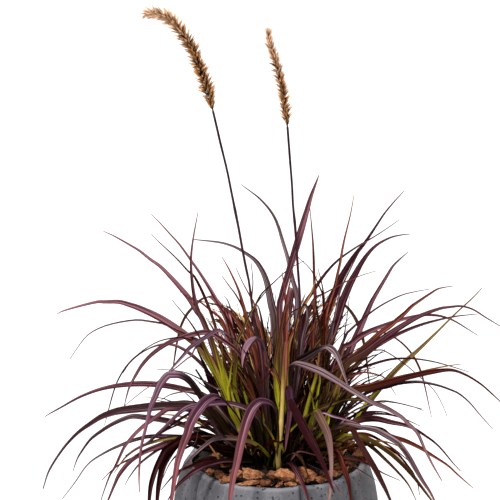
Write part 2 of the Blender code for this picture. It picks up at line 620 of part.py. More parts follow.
def crown_profile():
    """The woody crown that all shoots grow from, standing on the soil."""
    return [(0.0, CROWN_TOP), (CROWN_RADIUS - 0.006, CROWN_TOP), (CROWN_RADIUS, CROWN_TOP - 0.006),
            (CROWN_RADIUS, SOIL_TOP + GAP), (0.0, SOIL_TOP + GAP)]


PARTS = empty_scene()
GROUP = bpy.data.objects.new("fountain_grass_pot", None)
PARTS.objects.link(GROUP)

COLUMNS = fold_columns()
turned("planter", planter_profile(), COLUMNS, CONCRETE, 0.85, True)
turned("potting_soil", soil_profile(), COLUMNS, SOIL, 0.95, True)
turned("crown", crown_profile(), [360 * side / CROWN_SIDES for side in range(CROWN_SIDES)], STRAW, 0.9,
       False)
mulch(COLUMNS)

for leaf_name, leaf_mm, leaf_colour, leaf_foot, leaf_toward, leaf_pixels in LEAVES:
    blade(leaf_name, leaf_mm, leaf_colour, foot_points(leaf_foot) + traced_route(leaf_pixels, leaf_toward),
          LEAF_ROLL)
for leaf_name, leaf_mm, leaf_colour, leaf_foot, heading, reach_out, top, end in BACK_LEAVES:
    blade(leaf_name, leaf_mm, leaf_colour, arching_points(leaf_foot, heading, reach_out, top, end), 0.0)
for stem_name, stem_foot, stem_toward, stem_pixels in CULMS:
    stem(stem_name, foot_points(stem_foot) + traced_route(stem_pixels, stem_toward), CULM_POINTS,
         CULM_RADIUS, CULM_TIP_RADIUS, 1, GREEN)
for stem_name, stem_foot, stem_toward, stem_pixels in STALKS:
    stem(stem_name, foot_points(stem_foot) + traced_route(stem_pixels, stem_toward), STALK_POINTS,
         STALK_RADIUS, STALK_TIP_RADIUS, 1, STALK)
for spike_name, spike_toward, spike_pixels, spike_radii in SPIKES:
    spike(spike_name, spike_toward, spike_pixels, spike_radii)
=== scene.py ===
"""The looks of a potted fountain grass clump: arching purple blades, green culms, two bristly flower
spikes, bark chips and a folded cast-concrete planter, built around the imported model."""

import json
import math
import random

import bmesh
import bpy
import numpy as np
from mathutils import Matrix, Vector, noise


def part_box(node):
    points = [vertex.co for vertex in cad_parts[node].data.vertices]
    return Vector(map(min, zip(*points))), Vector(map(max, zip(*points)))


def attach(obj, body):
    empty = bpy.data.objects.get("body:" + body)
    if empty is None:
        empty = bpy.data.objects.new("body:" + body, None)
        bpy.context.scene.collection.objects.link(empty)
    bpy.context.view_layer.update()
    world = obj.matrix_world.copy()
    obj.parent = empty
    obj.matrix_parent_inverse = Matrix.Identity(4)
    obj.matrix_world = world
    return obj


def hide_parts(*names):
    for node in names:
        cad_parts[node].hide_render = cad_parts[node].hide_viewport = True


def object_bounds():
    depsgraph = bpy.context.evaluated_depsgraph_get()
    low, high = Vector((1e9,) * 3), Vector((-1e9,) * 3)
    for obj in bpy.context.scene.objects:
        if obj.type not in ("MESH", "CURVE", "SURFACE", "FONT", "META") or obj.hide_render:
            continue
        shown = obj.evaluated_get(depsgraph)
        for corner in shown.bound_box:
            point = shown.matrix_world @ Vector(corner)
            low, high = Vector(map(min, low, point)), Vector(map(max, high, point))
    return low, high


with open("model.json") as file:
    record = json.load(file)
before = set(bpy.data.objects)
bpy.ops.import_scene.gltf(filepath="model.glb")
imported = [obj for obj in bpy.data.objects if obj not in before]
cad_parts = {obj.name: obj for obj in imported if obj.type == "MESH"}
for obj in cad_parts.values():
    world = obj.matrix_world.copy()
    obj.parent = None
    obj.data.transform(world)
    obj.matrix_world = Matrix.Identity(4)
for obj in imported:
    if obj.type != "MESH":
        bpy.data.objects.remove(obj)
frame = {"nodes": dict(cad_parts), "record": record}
cad_low, cad_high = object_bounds()

# The planter, in metres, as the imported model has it
PLANTER_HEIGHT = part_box("planter")[1].z
SOIL_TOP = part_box("potting_soil")[1].z
CROWN_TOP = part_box("crown")[1].z
CROWN_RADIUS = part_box("crown")[1].x
BASE_RADIUS = 0.105
BELLY_RADIUS = 0.177
BELLY_HEIGHT = 0.165
RIM_RADIUS = 0.155
WALL = 0.011
FLOOR_THICKNESS = 0.024
RIM_FOOT = 0.262
RIM_ROUND = 0.004
WALL_UNEVENNESS = 0.00045
PLANTER_COLUMNS = 480
MULCH_TOP = 0.268
MULCH_INNER = CROWN_RADIUS - 0.004
MULCH_OUTER = RIM_RADIUS - WALL - 0.0075
MULCH_GAP = 0.0005

# The planter's rounded foot: how far each ring stands out from the base, and its height
FOOT_RINGS = ((0.006, 0.004), (0.002, 0.0008), (-0.003, 0.0))

# Soft vertical folds: degrees from the front, and depth. Each has a finer crease at its heart
FOLDS = ((-58, 0.0065), (15, 0.0085), (52, 0.0065), (108, 0.006), (160, 0.007), (205, 0.006), (258, 0.0065))
FOLD_SPREAD = 7.5
FOLD_TOP_SHARE = 0.55
FOLD_FOOT = 0.02
CREASE_SPREAD = 1.3

# The picture in which the plant was traced, 500 pixels a side, and how it looks at the planter
PICTURE = 500
PIXEL = 0.001722
SIGHT_DEPTH = 3.0
SIGHT_PITCH = math.radians(12.7)
RIM_CENTRE_PIXEL = (276.0, 457.5)
SENSOR = 36.0
ACROSS = Vector((1, 0, 0))
UP = Vector((0, 0, 1))
SIGHT = Vector((0, math.cos(SIGHT_PITCH), -math.sin(SIGHT_PITCH)))
UPWARD = Vector((0, math.sin(SIGHT_PITCH), math.cos(SIGHT_PITCH)))
FOCAL = SIGHT_DEPTH / PIXEL
EYE = (Vector((0, 0, PLANTER_HEIGHT)) - SIGHT * SIGHT_DEPTH
       - ACROSS * (RIM_CENTRE_PIXEL[0] - PICTURE / 2) * PIXEL
       + UPWARD * (RIM_CENTRE_PIXEL[1] - PICTURE / 2) * PIXEL)

# The stage: a wide floor that the camera sees to its end, and lamps with their place, width in
# degrees and strength
FLOOR_SIZE = 900
FLOOR_DROP = 0.0005
FLOOR_GREY = (0.62, 0.62, 0.62, 1.0)
FAR_END = 2000
WORLD_LIGHT = 0.10
LIGHTS = (
    ("key_light", (-1.1, -1.65, 3.1), 14, 6.05),
    ("side_light", (2.6, -1.0, 2.0), 30, 0.9),
    ("back_light", (0.8, 3.0, 1.7), 40, 2.2),
)

# Blades, in metres. Their sections are heights across as shares of the width: the grooved midrib,
# the slopes and the margins
BLADE_THICKNESS = 0.00045
SLIM_THICKNESS = BLADE_THICKNESS * 0.8
BLADE_TIP_WIDTH = 0.0009
BLADE_ROLL = 1.5
STREAK_WIDTH = 0.0025
BLADE_RIPPLE = 0.035
# How dark the painted shade makes a blade's lower part inside the clump's core
INNER_PAINTED_SHADE = 0.85
BROAD_SECTION = ((0.0, -0.040), (0.05, 0.016), (0.14, 0.068), (0.30, 0.145), (0.44, 0.196), (0.5, 0.200))
THIN_SECTION = ((0.0, -0.030), (0.08, 0.040), (0.32, 0.155), (0.5, 0.200))

# Where shoots leave the crown, and how closely a route's points follow its bends
FOOT_GAP = 0.0004
FOOT_RISE = 0.012
ROOT_RADIUS = CROWN_RADIUS - 0.012
ROOT_SHARE = 0.42
BEND_WEIGHT = 0.035
BEND_STEPS = 12

# How wide a leaf is at shares of its length, one whose tip is long drawn out, and a folded one at
# shares of its rise and then, from 1 on, of its fall
USUAL_OUTLINE = ((0, 0.45), (0.15, 0.64), (0.35, 0.95), (0.50, 0.97), (0.62, 0.84), (0.75, 0.58),
                 (0.86, 0.35), (0.94, 0.20), (1, 0.02))
DRAWN_OUTLINE = ((0, 0.45), (0.15, 0.66), (0.33, 0.98), (0.48, 0.97), (0.58, 0.78), (0.66, 0.54),
                 (0.74, 0.36), (0.83, 0.23), (0.93, 0.16), (1, 0.04))
FOLDED_OUTLINE = ((0, 0.15), (0.95, 0.18), (1.05, 0.45), (1.18, 0.95), (1.35, 0.98), (1.60, 0.70),
                  (1.85, 0.30), (2, 0.02))

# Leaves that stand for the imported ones: name, width in mm, finish, foot on the crown as millimetres
# right of the axis and toward the viewer, distance toward the viewer at the first traced point and
# at the tip, how far up the green base runs, how far the tip has dried, and the traced pixels
LEAVES = (
    ("left_kinked", 13, "purple", (-36, 8), (12, -120), 0.36, 0.1,
     ((238, 425), (228, 400), (215, 372), (200, 348), (190, 339), (180, 331), (160, 318), (140, 308.5),
      (130, 305), (119, 302), (105, 302), (97, 302), (80, 306), (63, 311), (57, 314))),
    ("left_dark_arch", 9, "purple", (-22, 18), (16, 40), 0.2, 0.1,
     ((262, 400), (252, 375), (243, 359), (235, 349), (224, 341), (213, 334), (205, 332), (190, 335),
      (180, 338), (170, 342), (160, 348), (150, 356), (142, 365), (137, 373), (132, 382), (128, 391),
      (124, 407))),
    ("left_violet_fold", 9, "violet", (-10, 30), (45, 110), 0.15, 0.1,
     ((264, 410), (257, 380), (248, 358), (240, 345), (230, 336), (218, 330), (205, 337), (190, 347),
      (185, 353), (178, 361), (172, 368), (166, 376))),
    ("left_long_red", 11, "purple", (-50, 16), (30, -40), 0.22, 0.15,
     ((232, 435), (222, 415), (212, 402), (200, 394), (180, 388.5), (160, 385), (140, 384), (120, 385.5),
      (100, 389.5), (80, 397), (60, 408), (49, 414), (44.5, 417))),
    ("left_hook", 13, "violet", (-46, 42), (60, 190), 0.2, 0.5,
     ((232, 440), (218, 420), (204, 402), (196, 390), (188, 380), (180, 375.5), (173, 375), (167, 376),
      (160, 385), (155, 397), (151, 406), (148, 418), (146, 427), (142, 443), (140, 458), (139, 478),
      (139.5, 492))),
    ("left_grey", 16, "grey", (-60, 30), (45, 140), 0.18, 0.1,
     ((228, 440), (215, 422), (203, 412), (190, 407), (180, 406), (160, 406.5), (140, 408.5), (120, 411),
      (110, 413.5), (100, 417.5), (90, 424), (80, 431), (70, 440.5), (60, 453), (49, 471), (43, 489))),
    ("left_olive", 10, "grey", (-68, 8), (25, 50), 0.2, 0.1,
     ((228, 448), (212, 437), (195, 430), (180, 424), (160, 419.5), (145, 417.5), (132, 416.5),
      (120, 420.5), (110, 425.5), (100, 432), (90, 440), (80, 454), (76, 462), (73, 471))),
    ("left_brown", 8, "grey", (-72, 24), (40, 90), 0.2, 0.1,
     ((228, 452), (212, 441), (195, 438), (170, 436.5), (150, 436.5), (140, 438.5), (130, 441.5),
      (120, 445.5), (110, 450), (100, 455.5), (91, 461.5), (84, 469), (77, 479.5), (70, 489), (62, 499))),
    ("left_low_olive", 11, "purple", (-66, 42), (60, 130), 0.2, 0.1,
     ((225, 455), (210, 445), (195, 439), (180, 439), (160, 446), (143, 453), (130, 462), (120, 474),
      (115, 484), (107, 503))),
    ("left_hanging", 10, "red", (-56, 54), (75, 220), 0.15, 0.0,
     ((225, 455), (210, 441), (195, 436), (180, 440), (172, 445), (165, 450), (160, 459), (156, 468),
      (152, 480), (150, 490), (149, 503), (148.5, 516))),
    ("left_ribbon", 20, "violet", (-30, 54), (75, 270), 0.15, 0.75,
     ((250, 440), (238, 418), (228, 405), (220, 398), (213, 397), (205, 402), (200, 408), (195, 415),
      (190, 425), (187, 435), (183, 445), (178, 460), (176, 470), (174, 482), (171, 503), (169, 517))),
    ("left_pink_arch", 9, "violet", (-12, 48), (66, 150), 0.2, 0.2,
     ((266, 436), (258, 418), (250, 411), (240, 406), (225, 403), (210, 404), (195, 405.5), (185, 409),
      (175, 417), (165, 427), (155, 436), (147, 443), (135, 449), (125, 456))),
    ("front_ribbon", 21, "violet", (-5, 72), (76, 260), 0.22, 0.8,
     ((276, 455), (277.5, 440), (277.5, 425), (276, 413), (272.5, 405), (268, 402), (262, 401), (257, 403),
      (252, 408), (248, 416), (245, 425), (240, 445), (236, 465), (233, 478), (231, 490), (229.5, 502),
      (228, 514))),
    ("front_left_olive", 8, "grey", (-15, 70), (78, 150), 0.35, 0.1,
     ((268, 456), (255, 444), (235, 438.5), (215, 439), (203, 447), (192, 457), (183, 467), (177, 477),
      (172, 486))),
    ("front_left_purple", 10, "purple", (-36, 70), (85, 190), 0.1, 0.1,
     ((240, 461), (225, 461), (215, 463), (205, 466), (195, 471), (187, 477), (180, 483), (175, 489),
      (166, 503))),
    ("upper_left_red", 11, "purple", (-42, -8), (0, -120), 0.32, 0.15,
     ((240, 430), (228, 395), (215, 352), (203, 320), (197, 311), (190, 299), (180, 287), (170, 276),
      (160, 266), (150, 259), (140, 251), (130, 245), (115, 236.5), (103, 231))),
    ("upper_left_slim", 8, "purple", (-30, -16), (-15, -160), 0.4, 0.15,
     ((250, 430), (240, 370), (228, 322), (218, 303), (213, 294), (207, 284), (200, 273), (193, 263),
      (180, 245), (170, 234), (161, 224), (151, 214))),
    ("upper_left_maroon", 11, "red", (-20, -14), (-14, 30), 0.2, 0.1,
     ((262, 400), (257, 360), (250, 340), (240, 325), (232, 314), (225, 308), (216, 304.5), (207, 302.5),
      (199, 301))),
    ("top_grey", 17, "grey", (-4, -8), (-10, -130), 0.3, 0.1,
     ((278, 420), (277, 360), (275, 318), (272, 305), (270, 295), (268, 285), (265, 276), (261, 268),
      (256, 261), (250, 256), (238, 248.5), (228, 244.5), (217, 242), (194, 239.5))),
    ("top_tall", 15, "purple", (6, 10), (10, -20), 0.3, 0.3,
     ((281, 400), (280, 350), (279, 308), (281, 297), (284, 285), (287, 275), (290, 265), (293, 255),
      (298, 238), (301, 228), (304, 218), (307, 208), (310, 198), (313, 190), (319, 175))),
    ("top_slim", 10, "grey", (14, -28), (-30, -90), 0.25, 0.1,
     ((288, 400), (294, 350), (298, 302), (293, 280), (290, 267), (288, 258), (285, 248), (282, 238),
      (279, 228), (275, 218), (270, 210), (265, 204), (258, 197), (250, 191), (241, 184.5))),
    ("top_right_dark", 18, "purple", (35, -25), (-44, -170), 0.25, 0.1,
     ((307, 420), (315, 365), (322, 325), (325, 315), (330, 301), (335, 291), (339, 281), (344, 272),
      (350, 262), (357, 252), (363, 245), (368, 238), (376, 226), (384, 214), (393, 203), (404, 191))),
    ("top_right_violet", 17, "purple", (44, -6), (0, -110), 0.25, 0.15,
     ((318, 400), (325, 360), (328, 345), (333, 330), (338, 315), (342, 302), (346, 292), (350, 283),
      (355, 274), (360, 265), (366, 256), (372, 249), (378, 244), (385, 240), (392, 237), (401, 235),
      (410, 234))),
    ("right_stiff", 13, "purple", (52, -20), (-20, -130), 0.3, 0.1,
     ((330, 420), (340, 385), (344, 364), (348, 355), (353, 343), (358, 332), (363, 321), (367, 312),
      (371, 303), (376, 294), (382, 284), (388, 274), (393, 266), (400, 259), (408, 252))),
    ("right_orange_stripe", 11, "red", (57, -4), (5, -50), 0.35, 0.1,
     ((330, 425), (338, 395), (343, 367), (350, 360), (360, 351), (370, 342), (380, 333), (390, 326),
      (398, 319), (405, 313), (412, 306), (422, 299), (431, 293), (439, 288.5), (453, 286))),
    ("right_arch_slim", 9, "purple", (47, 9), (15, -150), 0.25, 0.1,
     ((325, 420), (335, 380), (342, 350), (350, 344), (360, 336), (370, 331), (380, 327), (400, 320),
      (420, 315.5), (430, 315), (440, 316), (450, 319), (458, 323), (466, 328), (478, 335.5))),
    ("right_arch_broad", 13, "purple", (60, 10), (24, 90), 0.3, 0.1,
     ((328, 425), (336, 395), (345, 366), (365, 352), (385, 337), (405, 324), (422, 315), (440, 308.5),
      (450, 307), (460, 306), (468, 307.5), (476, 311), (485, 317), (500, 326))),
    ("right_straight", 11, "olive", (72, -10), (0, -140), 0.3, 0.1,
     ((332, 440), (346, 431), (358, 417), (372, 398), (385, 382), (400, 366), (418, 350), (438, 331),
      (455, 314), (473, 297.5), (482, 288))),
    ("right_maroon", 14, "red", (66, 24), (40, 120), 0.25, 0.1,
     ((330, 430), (338, 408), (350, 392), (370, 387), (390, 381.5), (410, 376.5), (430, 372.5), (450, 370),
      (465, 374.5), (480, 383.5), (490, 392), (503, 404))),
    ("right_grey_long", 14, "grey", (18, 24), (10, 190), 0.15, 0.55,
     ((288, 430), (286, 400), (285, 380), (288, 368), (294, 363.5), (301, 364.5), (310, 367.5),
      (320, 371.5), (330, 377), (340, 383), (350, 389.5), (361, 396), (373, 403), (385, 407.5), (395, 413),
      (402.5, 418), (408, 423.6), (414, 429), (418.6, 435), (424, 447.7), (428, 455.7), (433, 465.5),
      (442, 481))),
    ("right_violet_fold", 14, "grey", (21, 9), (6, 60), 0.15, 0.3,
     ((294, 430), (291, 390), (291, 370), (296, 362), (305.8, 356.8), (317, 349.7), (326, 346.5),
      (333, 349.5), (338, 357), (341, 365), (344, 374), (349, 388))),
    ("right_slim_low", 11, "purple", (62, 38), (60, 120), 0.25, 0.1,
     ((322, 445), (340, 428), (358, 421), (367, 419), (377.5, 419), (390, 422), (402.5, 424.5),
      (410.5, 427), (417.7, 430.7), (425.7, 436), (434, 442), (441, 448.6), (447, 455.7), (453, 463),
      (460.5, 471))),
    ("right_violet_low", 10, "grey", (52, 48), (78, 190), 0.25, 0.5,
     ((318, 445), (332, 430), (345, 424), (360, 427), (375, 430), (385, 435), (395, 441), (400, 445),
      (408, 456), (415, 468), (422, 480), (430, 492), (435, 502), (440, 514))),
    ("right_orange_tip", 10, "red", (74, 32), (44, 140), 0.3, 0.4,
     ((326, 448), (342, 433), (360, 428), (380, 430), (390, 436.5), (405, 441), (420, 448), (432, 455.5),
      (447, 465), (458, 475), (473, 488))),
    ("right_olive_low", 9, "olive", (42, 60), (88, 200), 0.5, 0.3,
     ((312, 450), (330, 440), (345, 435), (360, 436), (370, 440), (380, 446), (390, 453), (397, 459),
      (405, 467), (413, 476), (420, 485), (432, 501), (438, 511))),
    ("right_hanging", 11, "dusty", (33, 66), (100, 270), 0.3, 0.1,
     ((308, 450), (322, 437), (338, 430), (352, 430), (358, 440), (364, 450), (370, 460), (376, 470),
      (381, 480), (386, 490), (391, 502), (396, 516))),
    ("right_olive_arch", 8, "olive", (36, 38), (50, 80), 0.35, 0.1,
     ((306, 440), (311, 422), (318, 410), (330, 405), (345, 400), (358, 399.5), (372, 402), (385, 401),
      (400, 403.5), (412, 406.5), (422, 409))),
    ("front_right_ribbon", 18, "dusty", (26, 50), (75, 255), 0.5, 0.9,
     ((298, 440), (305, 422), (311, 413), (316, 411), (320, 418), (325, 428), (328, 436), (330, 446),
      (331, 456), (331.5, 466), (331, 476), (330.5, 490), (329, 502), (328, 515))),
    ("front_violet", 18, "purple", (-2, 50), (54, 250), 0.2, 0.3,
     ((289, 440), (287, 420), (287, 405), (290, 400), (293.5, 405), (298, 414), (305, 427), (311, 438),
      (317, 449), (322, 460), (329, 478), (334, 492))),
    ("front_right_maroon", 12, "red", (48, 66), (98, 240), 0.1, 0.3,
     ((320, 459), (329, 452), (337, 452), (342, 463), (346, 474), (349, 484), (351, 502), (352, 512))),
    ("front_small", 9, "purple", (17, 75), (86, 245), 0.1, 0.6,
     ((285, 465), (289, 463), (293, 466), (297, 472), (301, 480), (305, 490), (309, 502), (311, 510))),
)

# The outlines of leaves that have one of their own, and the leaves whose tip is long drawn out
LEAF_OUTLINES = {
    "front_ribbon": ((0, 0.3), (0.12, 0.36), (0.3, 0.34), (0.44, 0.36), (0.5, 0.52), (0.56, 0.74),
        (0.63, 0.88), (0.71, 0.76), (0.8, 0.54), (0.9, 0.4), (0.95, 0.26), (1, 0.04)),
    "left_ribbon": ((0, 0.15), (0.28, 0.22), (0.41, 0.3), (0.47, 0.62), (0.54, 0.9), (0.63, 0.86),
        (0.71, 0.66), (0.78, 0.5), (0.86, 0.36), (0.95, 0.26), (1, 0.05)),
    "front_right_ribbon": ((0, 0.12), (0.3, 0.14), (0.4, 0.26), (0.47, 0.64), (0.54, 0.84), (0.59, 0.76),
        (0.65, 0.66), (0.7, 0.46), (0.75, 0.31), (0.8, 0.27), (0.87, 0.24), (0.94, 0.18), (1, 0.05)),
    "front_violet": ((0, 0.04), (0.52, 0.05), (0.55, 0.6), (0.6, 1.0), (0.68, 1.0), (0.78, 0.94),
        (0.87, 0.74), (0.94, 0.4), (1, 0.05)),
    "right_grey_long": ((0, 0.04), (0.37, 0.04), (0.4, 0.24), (0.44, 0.74), (0.48, 1.03), (0.51, 1.0),
        (0.54, 0.82), (0.57, 0.64), (0.65, 0.58), (0.73, 0.5), (0.85, 0.38), (0.95, 0.2), (1, 0.04)),
    "right_violet_fold": ((0, 0.3), (0.42, 0.5), (0.51, 0.75), (0.58, 1.1), (0.64, 0.9), (0.69, 0.35),
        (0.72, 0.3), (0.77, 0.85), (0.81, 0.98), (0.85, 0.8), (0.89, 0.55), (0.94, 0.35), (1, 0.05)),
    "left_violet_fold": ((0, 0.1), (0.55, 0.12), (0.62, 0.35), (0.7, 0.9), (0.8, 1.0), (0.9, 0.7),
        (1, 0.05)),
    "left_hook": ((0, 0.5), (0.26, 0.95), (0.4, 1.0), (0.5, 0.9), (0.6, 0.92), (0.68, 0.74), (0.77, 0.44),
        (0.9, 0.26), (1, 0.04)),
    "left_dark_arch": ((0, 0.4), (0.3, 0.6), (0.45, 0.9), (0.6, 1.0), (0.75, 0.85), (0.88, 0.5), (1, 0.03)),
    "right_olive_low": ((0, 0.15), (0.36, 0.22), (0.46, 0.6), (0.55, 0.85), (0.68, 0.9), (0.8, 0.7),
        (0.92, 0.35), (1, 0.03)),
    "right_hanging": ((0, 0.15), (0.4, 0.2), (0.52, 0.7), (0.62, 1.0), (0.75, 0.9), (0.86, 0.6), (1, 0.04)),
    "right_violet_low": ((0, 0.15), (0.34, 0.25), (0.45, 0.7), (0.6, 1.0), (0.75, 0.85), (0.9, 0.4),
        (1, 0.04)),
    "left_hanging": ((0, 0.3), (0.3, 0.6), (0.5, 0.95), (0.65, 1.0), (0.85, 0.8), (1, 0.3)),
    "left_low_olive": ((0, 0.4), (0.3, 0.8), (0.6, 0.9), (0.85, 0.6), (1, 0.2)),
    "top_right_dark": ((0, 0.4), (0.2, 0.66), (0.38, 0.96), (0.5, 0.98), (0.58, 0.86), (0.66, 0.64),
        (0.74, 0.38), (0.82, 0.2), (0.92, 0.12), (1, 0.03)),
    "top_right_violet": ((0, 0.4), (0.2, 0.66), (0.38, 0.96), (0.52, 0.98), (0.62, 0.8), (0.7, 0.58),
        (0.78, 0.36), (0.86, 0.22), (0.93, 0.14), (1, 0.03)),
    "top_tall": ((0, 0.4), (0.3, 0.7), (0.6, 0.85), (0.75, 0.92), (0.85, 0.82), (0.92, 0.56), (0.97, 0.26),
        (1, 0.03)),
}
DRAWN_LEAVES = (
    "left_grey", "left_brown", "top_grey", "right_arch_broad", "right_straight", "right_maroon",
    "right_slim_low", "right_olive_arch",
)

# How light a leaf is, where it isn't near the middle: partly its own tone, partly painted light, as on
# the hanging face of right_violet_fold, made lighter where the lamps leave it dark
LEAF_TONES_AND_PAINTED_LIGHT = {
    "left_hanging": -0.35, "left_pink_arch": 0.4, "right_maroon": 0.12, "right_arch_broad": 0.45,
    "right_olive_low": 0.2, "right_olive_arch": 0.1, "right_violet_low": 0.33, "top_tall": 0.7,
    "upper_left_slim": 0.78, "upper_left_red": 0.8, "left_brown": 0.45, "right_grey_long": 0.52,
    "front_violet": 0.12, "right_violet_fold": 0.72, "left_violet_fold": 0.7, "left_hook": 0.5,
    "left_ribbon": 0.31, "front_ribbon": 0.3, "front_right_ribbon": 0.08, "right_hanging": 0.0,
    "left_kinked": 0.85, "left_low_olive": 0.6, "left_grey": 0.2, "left_olive": 0.3,
    "top_right_dark": 0.32, "top_right_violet": 0.4, "top_slim": 0.6, "right_slim_low": 0.3,
    "front_left_purple": 0.25, "left_long_red": 0.5, "top_grey": 0.4, "front_right_maroon": 0.1,
}

# How far up a leaf is darkened with painted shade, for the dark of the clump that it lies in before it
# folds over into the light, and how dark
LEAF_PAINTED_SHADES = {
    "right_grey_long": (0.34, 1.0), "right_violet_fold": (0.70, 0.93), "front_right_ribbon": (0.42, 0.9),
    "front_violet": (0.50, 1.0), "left_violet_fold": (0.58, 0.9), "left_hook": (0.47, 0.88),
    "left_ribbon": (0.42, 0.75), "left_pink_arch": (0.30, 0.5), "front_left_purple": (0.12, 1.0),
    "right_olive_low": (0.40, 1.0), "right_hanging": (0.44, 1.0), "right_violet_low": (0.38, 0.9),
    "front_ribbon": (0.40, 0.40), "left_dark_arch": (0.40, 0.5), "left_grey": (0.20, 0.8),
    "left_hanging": (0.25, 0.9), "left_low_olive": (0.2, 0.9), "front_left_olive": (0.25, 0.7),
    "right_maroon": (0.25, 0.7), "right_slim_low": (0.25, 0.8), "right_orange_tip": (0.30, 0.9),
}

# Leaves that arch away from the viewer: name, width in mm, finish, foot as above, direction in
# degrees from +X, then reach, greatest height and tip height above the crown in metres. An arch
# passes through shares of its reach and height
BACK_LEAVES = (
    ("back_left_low", 12, "purple", (-62, -34), 152, 0.280, 0.170, 0.000),
    ("back_left", 13, "red", (-40, -52), 124, 0.270, 0.240, 0.060),
    ("back_centre_left", 12, "purple", (-14, -62), 103, 0.260, 0.205, -0.020),
    ("back_centre_right", 14, "purple", (10, -66), 80, 0.250, 0.250, 0.080),
    ("back_right", 12, "olive", (34, -58), 58, 0.280, 0.225, 0.020),
    ("back_right_low", 13, "red", (60, -38), 33, 0.270, 0.190, 0.010),
)
ARCH = ((0.10, 0.45), (0.26, 0.82), (0.48, 1.0), (0.70, 0.88))

